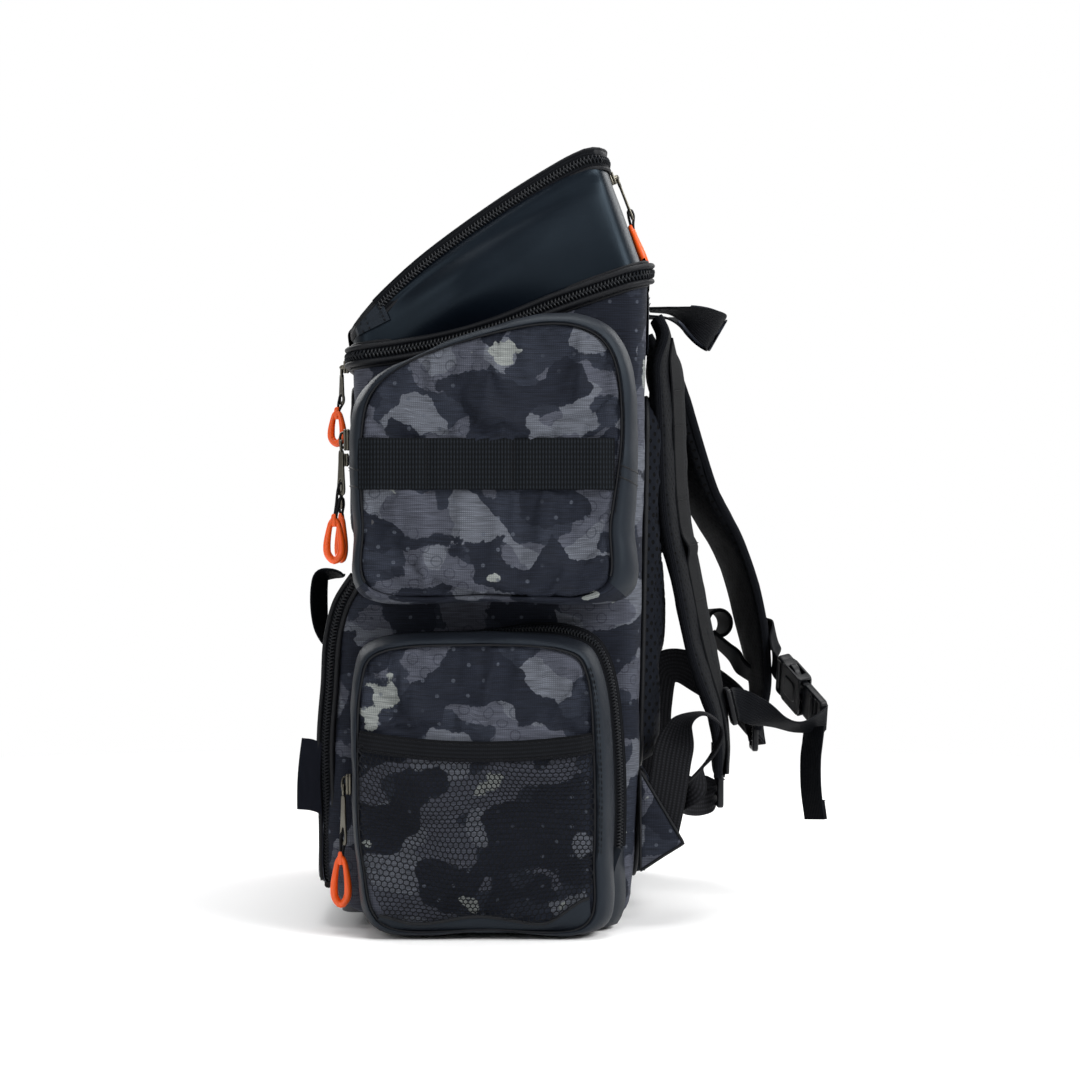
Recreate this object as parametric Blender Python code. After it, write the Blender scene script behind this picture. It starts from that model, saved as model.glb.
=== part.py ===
"""Tackle backpack: a tray compartment below, a main compartment above and a wedge-shaped top box.

Metres, +Z up. The bag stands on its base at Z = 0; its front (the tray door) faces -Y, the
shoulder straps +Y, and X runs across it. "right" is the wearer's right, at +X.
Each object is one sewn panel, pad, webbing or moulded piece, with its origin on its joint's axis
if it moves. Fabric pieces have the size and place of the real ones and a plain, closed shape.
"""

import math

import bmesh
import bpy
import numpy as np
from mathutils import Matrix, Vector

# --- driving dimensions -------------------------------------------------------------------------
GAP = 0.0003  # clearance between pieces that lie on each other
SEAM_GAP = 0.0006  # half of the clearance at a zipped edge

HALF_WIDTH = 0.143  # main body, to each side
CORNER = (0.020, 0.012)  # upright corners of the body: reach along X and along Y
CORNER_ANGLES = (90, 55, 25, 0)  # from the side face round to the front or rear face
REACH = 0.098  # depth from the middle that a corner's full reach applies to
WALL = 0.004
BASE_THICK = 0.004
POCKET_FACE = 0.190  # outer face of the side pockets, from the centre plane
POCKET_ZIP = 0.158  # plane of the side pockets' zips

# side outlines, as (Y, Z)
RIM_LINE = (  # seam between the main body and the top box
    (-0.090, 0.3515),
    (-0.056, 0.3560),
    (-0.025, 0.3620),
    (0.005, 0.3710),
    (0.036, 0.3835),
    (0.067, 0.3945),
    (0.097, 0.4045),
)
TOP_LINE = (  # outer surface of the lid, front to rear
    (-0.087, 0.368),
    (-0.065, 0.393),
    (-0.038, 0.417),
    (0.005, 0.448),
    (0.042, 0.471),
    (0.0595, 0.4795),
)
FRONT_LINE = (  # zipped edge of the tray door, bottom to top
    (-0.0980, 0.0240),
    (-0.1035, 0.0360),
    (-0.1015, 0.1030),
    (-0.0985, 0.1465),
    (-0.0965, 0.1770),
    (-0.0910, 0.1990),
    (-0.0800, 0.2170),
)
REAR_LINE = ((0.0780, 0.0045), (0.0870, 0.0240), (0.0915, 0.1160), (0.0970, 0.4030))

SHELF_HEIGHT = 0.208
SHELF_THICK = 0.004
WINDOW = (0.126, 0.034, 0.198)  # tray opening: half width, lower edge, upper edge

LID_THICK = 0.005
LID_HINGE = Vector((0.0, TOP_LINE[0][0], TOP_LINE[0][1]))
BOX_HINGE = Vector((0.0, 0.0978, 0.4048))
DOOR_HINGE = Vector((0.0, -0.0986, 0.0238))
DOOR_BULGE = 0.012

ZIP_ROLL = (0.0062, 0.0050)  # piping beside the main zip: how far it stands out, and its height
UPPER_HINGE = Vector((POCKET_FACE, 0.0, 0.2040))
LOWER_HINGE = Vector((0.1935, 0.0, 0.0060))

# side pockets, as (Y, Z), anticlockwise from the lower front corner
UPPER_FACE = (
    (-0.070, 0.209),
    (-0.076, 0.250),
    (-0.077, 0.300),
    (-0.068, 0.331),
    (-0.034, 0.352),
    (0.026, 0.367),
    (0.058, 0.363),
    (0.072, 0.342),
    (0.076, 0.300),
    (0.072, 0.250),
    (0.066, 0.209),
    (0.000, 0.206),
)
UPPER_RIM = (
    (-0.076, 0.204),
    (-0.083, 0.250),
    (-0.0855, 0.303),
    (-0.075, 0.338),
    (-0.036, 0.360),
    (0.028, 0.376),
    (0.066, 0.372),
    (0.085, 0.348),
    (0.0895, 0.300),
    (0.0875, 0.250),
    (0.082, 0.204),
    (0.000, 0.202),
)
LOWER_FACE = (
    (-0.062, 0.008),
    (-0.076, 0.046),
    (-0.079, 0.100),
    (-0.077, 0.152),
    (-0.064, 0.172),
    (-0.010, 0.176),
    (0.042, 0.173),
    (0.058, 0.158),
    (0.062, 0.110),
    (0.062, 0.050),
    (0.056, 0.008),
    (0.000, 0.006),
)
LOWER_RIM = (
    (-0.068, 0.004),
    (-0.081, 0.046),
    (-0.084, 0.100),
    (-0.083, 0.157),
    (-0.069, 0.179),
    (-0.010, 0.1835),
    (0.050, 0.181),
    (0.072, 0.165),
    (0.080, 0.110),
    (0.080, 0.050),
    (0.070, 0.004),
    (0.000, 0.003),
)
POCKET_STEPS = 26  # points round a pocket

MOLLE_BAND = (0.269, 0.300)  # lower and upper edge of the 32 mm webbing
MESH_TOP = 0.112
STRAP_SECTION = (0.064, 0.0105)  # shoulder strap: width, thickness
WEB_25 = (0.025, 0.0016)
WEB_20 = (0.020, 0.0015)

# shoulder straps, as (X to the side, Y, Z), from the top down
RIGHT_STRAP = (
    (0.080, 0.1045, 0.3800),
    (0.080, 0.1110, 0.3660),
    (0.079, 0.1150, 0.3480),
    (0.077, 0.1168, 0.3200),
    (0.075, 0.1180, 0.2850),
    (0.073, 0.1200, 0.2500),
    (0.072, 0.1240, 0.2200),
    (0.072, 0.1290, 0.1900),
    (0.074, 0.1355, 0.1600),
    (0.076, 0.1430, 0.1300),
    (0.077, 0.1455, 0.1080),
    (0.078, 0.1450, 0.0940),
)
LEFT_STRAP = (
    (0.080, 0.1045, 0.3800),
    (0.080, 0.1130, 0.3660),
    (0.079, 0.1220, 0.3500),
    (0.078, 0.1290, 0.3300),
    (0.077, 0.1366, 0.3040),
    (0.075, 0.1480, 0.2670),
    (0.074, 0.1605, 0.2380),
    (0.074, 0.1695, 0.2120),
    (0.074, 0.1750, 0.1900),
    (0.075, 0.1810, 0.1580),
    (0.076, 0.1830, 0.1350),
    (0.077, 0.1800, 0.1180),
)
# adjuster webbings, as (point, direction of the width), from the side wing to the ladder lock
RIGHT_ADJUSTER = (
    ((0.129, 0.1120, 0.058), (0, 1, 0)),
    ((0.129, 0.1120, 0.086), (0, 1, 0)),
    ((0.129, 0.1130, 0.106), (0.15, 1, 0)),
    ((0.128, 0.1190, 0.126), (1, 0.6, 0)),
    ((0.126, 0.1320, 0.131), (1, 0, 0)),
    ((0.126, 0.1430, 0.122), (1, 0, 0)),
    ((0.124, 0.1390, 0.108), (1, 0, 0)),
    ((0.118, 0.1270, 0.092), (1, 0, 0.3)),
    ((0.104, 0.1215, 0.080), (0.3, 0, 1)),
    ((0.091, 0.1290, 0.076), (0, 0, 1)),
    ((0.083, 0.1375, 0.077), (0, 0, 1)),
)
LEFT_ADJUSTER = (
    ((0.129, 0.1120, 0.058), (0, 1, 0)),
    ((0.129, 0.1120, 0.088), (0, 1, 0)),
    ((0.129, 0.1120, 0.118), (0.15, 1, 0)),
    ((0.128, 0.1150, 0.144), (1, 0.6, 0)),
    ((0.126, 0.1240, 0.158), (1, 0, 0)),
    ((0.125, 0.1380, 0.152), (1, 0, 0)),
    ((0.123, 0.1520, 0.138), (1, 0, 0)),
    ((0.118, 0.1600, 0.122), (1, 0, 0.3)),
    ((0.106, 0.1650, 0.108), (0.3, 0, 1)),
    ((0.093, 0.1690, 0.102), (0, 0, 1)),
    ((0.083, 0.1735, 0.102), (0, 0, 1)),
)
LOCK_SIZE = Vector((0.030, 0.005, 0.022))
RIGHT_LOCK = Vector((0.078, 0.1445, 0.0908))  # middle of the ladder lock's upper edge
LEFT_LOCK = Vector((0.077, 0.1790, 0.1145))

# sternum strap
BUCKLE_CENTRE = Vector((-0.010, 0.2065, 0.1350))
BUCKLE_AXIS = Vector((0.778, 0.395, -0.488)).normalized()
RIGHT_CLIP = Vector((0.066, 0.1525, 0.1320))
LEFT_CLIP = Vector((-0.066, 0.1868, 0.1745))
CLIP_SIZE = Vector((0.026, 0.0045, 0.024))
CLIP_LEAN = math.radians(13)

HANDLE_HINGE = Vector((0.0, 0.1020, 0.3905))

# zip pulls: distance below the pivot, width, thickness
PULL_STATIONS = (
    (-0.0010, 0.0060, 0.0014),
    (-0.0060, 0.0062, 0.0014),
    (-0.0240, 0.0100, 0.0014),
    (-0.0330, 0.0090, 0.0014),
    (-0.0335, 0.0024, 0.0024),
    (-0.0460, 0.0024, 0.0024),
    (-0.0465, 0.0100, 0.0040),
    (-0.0600, 0.0130, 0.0040),
    (-0.0700, 0.0080, 0.0040),
)
PULL_OFFSET = 0.0018  # from the slider's face to the pivot
SLIDER_SIZE = (0.0085, 0.0130, 0.0032)  # across the zip, along it, thickness

SIDES = (("right", 1.0), ("left", -1.0))

# name: colour, roughness, metallic
FINISHES = {
    "camo_ripstop": ((0.060, 0.060, 0.068), 0.80, 0.0),
    "coated_fabric": ((0.030, 0.032, 0.040), 0.50, 0.0),
    "trim_fabric": ((0.050, 0.050, 0.055), 0.62, 0.0),
    "black_webbing": ((0.012, 0.012, 0.014), 0.75, 0.0),
    "air_mesh": ((0.010, 0.010, 0.012), 0.90, 0.0),
    "pocket_mesh": ((0.014, 0.014, 0.017), 0.80, 0.0),
    "zip_tape": ((0.008, 0.008, 0.010), 0.55, 0.0),
    "buckle_plastic": ((0.015, 0.015, 0.017), 0.40, 0.0),
    "antique_metal": ((0.200, 0.180, 0.150), 0.38, 1.0),
    "orange_rubber": ((0.900, 0.130, 0.012), 0.45, 0.0),
    "liner_board": ((0.050, 0.050, 0.055), 0.60, 0.0),
}


# --- making solids ------------------------------------------------------------------------------
def clear_scene():
    for thing in list(bpy.data.objects):
        bpy.data.objects.remove(thing, do_unlink=True)


def finish_material(name):
    """The named Principled material, made once."""
    found = bpy.data.materials.get(name)
    if found:
        return found
    colour, roughness, metallic = FINISHES[name]
    made = bpy.data.materials.new(name)
    made.use_nodes = True
    shader = made.node_tree.nodes["Principled BSDF"]
    shader.inputs["Base Color"].default_value = (*colour, 1.0)
    shader.inputs["Roughness"].default_value = roughness
    shader.inputs["Metallic"].default_value = metallic
    return made


def add_piece(name, solid, finish, origin=(0, 0, 0), parent=None):
    """A named object from a bmesh in world coordinates, with its origin where it turns."""
    origin = Vector(origin)
    bmesh.ops.recalc_face_normals(solid, faces=solid.faces)
    solid.transform(Matrix.Translation(-origin))
    mesh = bpy.data.meshes.new(name)
    solid.to_mesh(mesh)
    solid.free()
    mesh.materials.append(finish_material(finish))
    piece = bpy.data.objects.new(name, mesh)
    bpy.context.collection.objects.link(piece)
    piece.location = origin
    if parent:
        piece.parent = parent
        piece.location = origin - parent.matrix_world.translation
    bpy.context.view_layer.update()
    return piece


def bridge(solid, low, high):
    """Quads between two rings of vertices."""
    count = len(low)
    for i in range(count):
        j = (i + 1) % count
        solid.faces.new((low[i], low[j], high[j], high[i]))


def loft(rings):
    """A closed solid through rings of points, with a flat cap on each end."""
    solid = bmesh.new()
    made = [[solid.verts.new(p) for p in ring] for ring in rings]
    for low, high in zip(made, made[1:]):
        bridge(solid, low, high)
    solid.faces.new(made[0][::-1])
    solid.faces.new(made[-1])
    return solid


def tube_ring(rings):
    """A closed solid whose rings run round and meet again, such as a frame."""
    solid = bmesh.new()
    made = [[solid.verts.new(p) for p in ring] for ring in rings]
    for low, high in zip(made, made[1:] + made[:1]):
        bridge(solid, low, high)
    return solid


def cup(outer, inner):
    """A shell, open at the first rings, with its floor at the last ones."""
    solid = bmesh.new()
    out = [[solid.verts.new(p) for p in ring] for ring in outer]
    ins = [[solid.verts.new(p) for p in ring] for ring in inner]
    for low, high in zip(out, out[1:]):
        bridge(solid, low, high)
    for low, high in zip(ins, ins[1:]):
        bridge(solid, high, low)
    bridge(solid, ins[0], out[0])
    solid.faces.new(out[-1])
    solid.faces.new(ins[-1][::-1])
    return solid


def box_between(low, high):
    """A rectangular block from its lowest corner to its highest."""
    (x0, y0, z0), (x1, y1, z1) = low, high
    rings = [[(x0, y0, z), (x1, y0, z), (x1, y1, z), (x0, y1, z)] for z in (z0, z1)]
    return loft(rings)


def chamfered_block(size, inset):
    """A block about the origin, its two Y faces drawn in by inset."""
    x, y, z = (s / 2 for s in size)
    rings = []
    for at, cut in ((-y, inset), (-y + inset, 0), (y - inset, 0), (y, inset)):
        a, b = x - cut, z - cut
        rings.append([(-a, at, -b), (a, at, -b), (a, at, b), (-a, at, b)])
    return loft(rings)


def catmull(points, closed, per_span=8):
    """A smooth curve through points."""
    spots = [Vector(p) for p in points]
    count = len(spots)
    spans = count if closed else count - 1
    curve = []
    for i in range(spans):
        if closed:
            a, b, c, d = (spots[(i + k) % count] for k in (-1, 0, 1, 2))
        else:
            b, c = spots[i], spots[i + 1]
            a = spots[i - 1] if i else b * 2 - c
            d = spots[i + 2] if i + 2 < count else c * 2 - b
        for k in range(per_span):
            t = k / per_span
            curve.append(
                0.5 * (2 * b + (c - a) * t + (2 * a - 5 * b + 4 * c - d) * t * t)
                + 0.5 * (3 * b - a - 3 * c + d) * t**3
            )
    if not closed:
        curve.append(spots[-1])
    return curve


def spread(points, count, closed):
    """Count points at even distances along a polyline."""
    line = np.array([tuple(p) for p in points])
    if closed:
        line = np.vstack([line, line[:1]])
    along = np.r_[0, np.cumsum(np.linalg.norm(np.diff(line, axis=0), axis=1))]
    at = np.linspace(0, along[-1], count + closed)[: count if closed else None]
    return np.stack([np.interp(at, along, column) for column in line.T], axis=1)


def smooth_outline(points, count=POCKET_STEPS):
    """A closed outline through (Y, Z) points, starting at the first."""
    flat = [(0.0, y, z) for y, z in points]
    return [(y, z) for _, y, z in spread(catmull(flat, True), count, True)]


def shrink(outline, distance):
    """A closed outline moved inwards by a distance, along its normals."""
    spots = np.array(outline)
    way = np.roll(spots, -1, axis=0) - np.roll(spots, 1, axis=0)
    way /= np.linalg.norm(way, axis=1)[:, None]
    normal = np.stack([way[:, 1], -way[:, 0]], axis=1)
    centre = spots.mean(axis=0)
    if ((centre - spots) * normal).sum() < 0:
        normal = -normal
    return [tuple(p) for p in spots + normal * distance]


def at_x(outline, x):
    return [(x, y, z) for y, z in outline]


def offset_line(line, distance):
    """An open (Y, Z) line moved to its left by a distance."""
    spots = np.array(line)
    way = np.gradient(spots, axis=0)
    way /= np.linalg.norm(way, axis=1)[:, None]
    normal = np.stack([-way[:, 1], way[:, 0]], axis=1)
    return [tuple(p) for p in spots + normal * distance]


def corner_steps():
    """How far in from the side and from the front or rear each step of a corner lies."""
    turns = [math.radians(angle) for angle in CORNER_ANGLES]
    return [(CORNER[0] * (1 - math.sin(t)), CORNER[1] * (1 - math.cos(t))) for t in turns]


def rounded_slab(profile, half_width):
    """A (Y, Z) profile drawn out along X, its depth less towards the two sides."""
    stations = [(half_width - inset, pull_in) for inset, pull_in in corner_steps()]
    stations += [(-x, pull_in) for x, pull_in in reversed(stations)]
    rings = [[(x, y * (1 - pull_in / REACH), z) for y, z in profile] for x, pull_in in stations]
    return loft(rings)


def ribbon(points, widths, section, corner=0.0):
    """A band along points, its width turned as widths say; corner rounds its long edges."""
    path = [Vector(p) for p in points]
    half, thick = section[0] / 2, section[1] / 2
    rings = []
    for i, spot in enumerate(path):
        ahead = path[min(i + 1, len(path) - 1)] - path[max(i - 1, 0)]
        ahead.normalize()
        across = Vector(widths[i])
        across = (across - ahead * across.dot(ahead)).normalized()
        up = ahead.cross(across)
        if corner:
            shape = [
                (-half, -thick + corner),
                (-half + corner, -thick),
                (half - corner, -thick),
                (half, -thick + corner),
                (half, thick - corner),
                (half - corner, thick),
                (-half + corner, thick),
                (-half, thick - corner),
            ]
        else:
            shape = [(-half, -thick), (half, -thick), (half, thick), (-half, thick)]
        rings.append([spot + across * a + up * b for a, b in shape])
    return loft(rings)


def smooth_ribbon(points, widths, section, count, corner=0.0):
    """A ribbon along a smooth curve through points, turning between the widths given at them."""
    place = np.array([tuple(p) for p in catmull(points, False)])
    turn = np.array([tuple(w) for w in catmull(widths, False)])
    along = np.r_[0, np.cumsum(np.linalg.norm(np.diff(place, axis=0), axis=1))]
    at = np.linspace(0, along[-1], count)
    spots, turns = (
        np.stack([np.interp(at, along, column) for column in line.T], axis=1)
        for line in (place, turn)
    )
    return ribbon(spots, turns, section, corner)


def mirrored(points, sign):
    return [(sign * p[0], *p[1:]) for p in points]


def cut(piece, cutter_solid, name):
    """Takes a solid out of a piece."""
    cutter = add_piece(name, cutter_solid, "liner_board")
    cutter.hide_render = True
    cutter.display_type = "WIRE"
    taker = piece.modifiers.new(name, "BOOLEAN")
    taker.operation = "DIFFERENCE"
    taker.object = cutter


def rim_height(y):
    """Height of the main seam at a depth."""
    return float(np.interp(y, [p[0] for p in RIM_LINE], [p[1] for p in RIM_LINE]))


# --- body ---------------------------------------------------------------------------------------
def body_profile():
    top = [(y * 0.985, z - SEAM_GAP) for y, z in RIM_LINE[1:-1]]
    front = [(-0.0840, 0.2260), (-0.0860, 0.3400), (-0.0860, rim_height(-0.086) - SEAM_GAP)]
    return [(-0.062, REAR_LINE[0][1]), *FRONT_LINE, *front, *top, *reversed(REAR_LINE)]


def make_body():
    shell = add_piece("main_shell", rounded_slab(body_profile(), HALF_WIDTH), "camo_ripstop")
    inside = [
        (-0.056, 0.0090),
        (-0.092, 0.0300),
        (-0.0955, 0.0400),
        (-0.0900, 0.1700),
        (-0.0760, 0.2050),
        (-0.0790, 0.2260),
        (-0.0810, 0.4500),
        (0.0925, 0.4500),
        (0.0872, 0.1160),
        (0.0828, 0.0260),
        (0.0740, 0.0090),
    ]
    cut(shell, rounded_slab(inside, HALF_WIDTH - WALL), "shell_hollow")
    half, low, high = WINDOW
    cut(shell, box_between((-half, -0.130, low), (half, -0.060, high)), "tray_window")

    side = HALF_WIDTH - WALL - 0.004
    shelf = box_between(
        (-side, -0.0700, SHELF_HEIGHT), (side, 0.0800, SHELF_HEIGHT + SHELF_THICK)
    )
    add_piece("divider_shelf", shelf, "liner_board")
    sheet = loft(
        [
            [(x, 0.0790, 0.0300), (x, 0.0815, 0.0300), (x, 0.0898, 0.3850), (x, 0.0873, 0.3850)]
            for x in (-0.110, 0.110)
        ]
    )
    add_piece("frame_sheet", sheet, "liner_board")
    base = [(0.052, 0.0), (0.060, 0.002), (0.062, BASE_THICK)]
    rings = []
    for reach, z in base:
        front, rear, wide = -reach, reach + 0.014, HALF_WIDTH - 0.012 - (0.062 - reach)
        rings.append(
            [
                (-wide, front, z),
                (wide, front, z),
                (wide, rear, z),
                (-wide, rear, z),
            ]
        )
    add_piece("base_panel", loft(rings), "trim_fabric")


def rim_path(out):
    """The seam's route round the front and both sides, a distance outside the body."""
    wide, front = HALF_WIDTH + out, -0.0865 - out
    route = [(wide, y) for y in (0.0940, 0.066, 0.036, 0.005, -0.025, -0.050)]
    route += [(wide - inset, front + pull_in) for inset, pull_in in corner_steps()]
    route += [(-x, y) for x, y in reversed(route)]
    return [Vector((x, y, rim_height(y))) for x, y in route]


def make_zip_roll(name, offset, parent=None):
    """Piping on one side of the main zip; it lies against the body and stands proud of it."""
    stand, tall = ZIP_ROLL
    centre = rim_path(stand / 2 + 0.0006)
    low, high = sorted((offset, offset + math.copysign(tall, offset)))
    rings = []
    for i, spot in enumerate(centre):
        ahead = centre[min(i + 1, len(centre) - 1)] - centre[max(i - 1, 0)]
        outward = Vector((ahead.y, -ahead.x, 0)).normalized() * (stand / 2)
        chamfer = 0.3 * outward
        lift = [Vector((0, 0, z)) for z in (low, low + 0.0012, high - 0.0012, high)]
        rings.append(
            [
                spot - outward + lift[0],
                spot + outward - chamfer + lift[0],
                spot + outward + lift[1],
                spot + outward + lift[2],
                spot + outward - chamfer + lift[3],
                spot - outward + lift[3],
            ]
        )
    return add_piece(name, loft(rings), "zip_tape", BOX_HINGE if parent else (0, 0, 0), parent)


# --- top box ------------------------------------------------------------------------------------
def make_top_box():
    lower = [(y, z + SEAM_GAP) for y, z in RIM_LINE]
    lower[0] = (-0.0862, rim_height(-0.0862) + SEAM_GAP)
    lower[-1] = (0.0945, rim_height(0.0945) + SEAM_GAP)
    upper = offset_line(TOP_LINE, -(LID_THICK + SEAM_GAP))
    upper.insert(0, (lower[0][0], upper[0][1] - 0.0030))
    rear = [(0.0925, 0.4130), (0.0720, 0.4660)]
    outline = [*lower, *rear, *reversed(upper)]
    top_box = add_piece("top_box", rounded_slab(outline, HALF_WIDTH), "coated_fabric", BOX_HINGE)
    floor = [(y, z + 0.004) for y, z in lower[1:-1]]
    floor[0] = (-0.074, floor[0][1] - 0.002)
    hollow = [*floor, (0.0870, 0.4135), (0.0675, 0.4640), (0.062, 0.52), (-0.074, 0.52)]
    cut(top_box, rounded_slab(hollow, HALF_WIDTH - WALL), "box_hollow")
    make_zip_roll("main_zip_upper", SEAM_GAP, top_box)

    bottom = offset_line(TOP_LINE, -LID_THICK)
    lid_shape = [*TOP_LINE, (0.0650, 0.4765), *reversed(bottom)]
    lid = rounded_slab(lid_shape, HALF_WIDTH)
    add_piece("top_lid", lid, "camo_ripstop", LID_HINGE, top_box)
    return top_box


# --- tray door and front ------------------------------------------------------------------------
def make_front():
    line = offset_line(FRONT_LINE, SEAM_GAP)
    rings = []
    for x, share in ((0.1345, 0.12), (0.130, 0.45), (0.110, 0.75), (0.065, 0.95), (0.0, 1.0)):
        outer = []
        for i, (y, z) in enumerate(line):
            bump = math.sin(math.pi * (i + 0.55) / (len(line) + 0.1)) ** 0.6
            outer.append((y - DOOR_BULGE * share * bump, z))
        rings.append([(x, y, z) for y, z in [*line, *reversed(outer)]])
    rings += [[(-x, y, z) for x, y, z in ring] for ring in reversed(rings[:-1])]
    door = add_piece("tray_door", loft(rings), "camo_ripstop", DOOR_HINGE)

    loop = [
        (0.0, -0.0985, 0.2190),
        (0.0, -0.1110, 0.2165),
        (0.0, -0.1200, 0.2110),
        (0.0, -0.1222, 0.2020),
        (0.0, -0.1195, 0.1880),
        (0.0, -0.1140, 0.1700),
    ]
    web = smooth_ribbon(loop, [(1, 0, 0)] * len(loop), (0.022, 0.0016), 14)
    add_piece("door_loop", web, "black_webbing", DOOR_HINGE, door)
    tab = box_between((0.1340, -0.1170, 0.0710), (0.1352, -0.1052, 0.1150))
    add_piece("label_tab", tab, "black_webbing", DOOR_HINGE, door)

    rings = []
    for y, cut_in in ((-0.0864, 0.0), (-0.0890, 0.0), (-0.0915, 0.006)):
        wide, low, high = 0.112 - cut_in, 0.238 + cut_in, 0.334 - cut_in
        trim = 0.010
        rings.append(
            [
                (-wide + trim, y, low),
                (wide - trim, y, low),
                (wide, y, low + trim),
                (wide, y, high - trim),
                (wide - trim, y, high),
                (-wide + trim, y, high),
                (-wide, y, high - trim),
                (-wide, y, low + trim),
            ]
        )
    add_piece("front_pocket", loft(rings), "camo_ripstop")


# --- side pockets -------------------------------------------------------------------------------
def below_piping(outline, inset):
    """The outline kept under the main zip's piping, and inset further by as much again."""
    room = ZIP_ROLL[1] + 4 * SEAM_GAP + inset - 0.003
    return [(y, min(z, rim_height(y) - room)) for y, z in outline]


def make_pocket(level, rim, face, hinge, side, sign):
    """The gusset sewn to the body and the zipped cover that folds out."""
    edge, front = smooth_outline(rim), smooth_outline(face)
    near, zipped = HALF_WIDTH + GAP, POCKET_ZIP
    outside, inside = (below_piping(shrink(edge, inset), inset) for inset in (0.003, 0.007))
    rings = [
        at_x(outside, sign * near),
        at_x(outside, sign * (zipped - SEAM_GAP)),
        at_x(inside, sign * (zipped - SEAM_GAP)),
        at_x(inside, sign * near),
    ]
    add_piece(f"{level}_gusset_{side}", tube_ring(rings), "trim_fabric")

    middle = [tuple((np.array(a) + np.array(b)) / 2) for a, b in zip(edge, front)]
    deep = POCKET_FACE
    outer = [
        at_x(edge, sign * (zipped + SEAM_GAP)),
        at_x(edge, sign * (zipped + 0.012)),
        at_x(middle, sign * (deep - 0.003)),
        at_x(front, sign * deep),
    ]
    inner = [
        at_x(shrink(edge, WALL), sign * (zipped + SEAM_GAP)),
        at_x(shrink(edge, WALL), sign * (zipped + 0.012)),
        at_x(shrink(middle, WALL), sign * (deep - WALL)),
    ]
    axis = Vector((sign * hinge.x, 0, hinge.z))
    return add_piece(f"{level}_cover_{side}", cup(outer, inner), "camo_ripstop", axis)


def make_upper_pocket(side, sign):
    cover = make_pocket("upper", UPPER_RIM, UPPER_FACE, UPPER_HINGE, side, sign)
    low, high = MOLLE_BAND
    spots = [(POCKET_FACE + 0.0014, y, (low + high) / 2) for y in (-0.075, 0.071)]
    web = ribbon(mirrored(spots, sign), [(0, 0, 1)] * 2, (high - low, 0.0018))
    axis = cover.matrix_world.translation
    add_piece(f"molle_web_{side}", web, "black_webbing", axis, cover)


def make_lower_pocket(side, sign):
    cover = make_pocket("lower", LOWER_RIM, LOWER_FACE, LOWER_HINGE, side, sign)
    outline = [
        (-0.0600, 0.0100),
        (-0.0740, 0.0460),
        (-0.0765, MESH_TOP + 0.004),
        (-0.010, MESH_TOP - 0.003),
        (0.0590, MESH_TOP + 0.005),
        (0.0595, 0.0500),
        (0.0540, 0.0110),
        (0.0000, 0.0085),
    ]
    rings = [
        at_x(outline, sign * (POCKET_FACE + 0.0006)),
        at_x(outline, sign * (POCKET_FACE + 0.0022)),
        at_x(shrink(outline, 0.006), sign * (POCKET_FACE + 0.0034)),
    ]
    axis = cover.matrix_world.translation
    add_piece(f"mesh_pocket_{side}", loft(rings), "pocket_mesh", axis, cover)


# --- back, straps and sternum strap -------------------------------------------------------------
def rear_face(z):
    return float(np.interp(z, [p[1] for p in REAR_LINE], [p[0] for p in REAR_LINE]))


def make_pad(name, half_width, low, high, thick, inset):
    """A foam pad on the rear face, its outer edge drawn in."""
    rings = []
    for out, cut_in in ((3 * GAP, 0.0), (0.6 * thick, 0.0), (thick, inset)):
        wide, bottom, top = half_width - cut_in, low + cut_in, high - cut_in
        corner = 0.014
        shape = [
            (-wide + corner, bottom),
            (wide - corner, bottom),
            (wide, bottom + corner),
            (wide, top - corner),
            (wide - corner, top),
            (-wide + corner, top),
            (-wide, top - corner),
            (-wide, bottom + corner),
        ]
        rings.append([(x, rear_face(z) + out, z) for x, z in shape])
    add_piece(name, loft(rings), "air_mesh")


def make_straps():
    make_pad("back_pad", 0.112, 0.096, 0.330, 0.0125, 0.004)
    make_pad("lumbar_pad", 0.108, 0.026, 0.090, 0.0135, 0.004)
    sides = (
        ("right", 1.0, RIGHT_STRAP, RIGHT_ADJUSTER, RIGHT_LOCK),
        ("left", -1.0, LEFT_STRAP, LEFT_ADJUSTER, LEFT_LOCK),
    )
    for side, sign, strap, adjuster, lock in sides:
        path = mirrored(strap, sign)
        band = smooth_ribbon(path, [(1, 0, 0)] * len(path), STRAP_SECTION, 24, 0.003)
        add_piece(f"shoulder_strap_{side}", band, "air_mesh")

        spots = mirrored([p for p, _ in adjuster], sign)
        turns = mirrored([w for _, w in adjuster], sign)
        web = smooth_ribbon(spots, turns, WEB_25, 26)
        add_piece(f"adjuster_web_{side}", web, "black_webbing")

        pivot = Vector((sign * lock.x, lock.y, lock.z))
        block = chamfered_block(LOCK_SIZE, 0.0012)
        block.transform(Matrix.Translation(pivot - Vector((0, 0, LOCK_SIZE.z / 2))))
        add_piece(f"ladder_lock_{side}", block, "buckle_plastic", pivot)

        triangle = [(0.0922, 0.0960), (0.1190, 0.0510), (0.1060, 0.0430), (0.0922, 0.0340)]
        wing = loft([at_x(triangle, sign * x) for x in (0.1195, 0.1217)])
        add_piece(f"anchor_wing_{side}", wing, "camo_ripstop")


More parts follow.
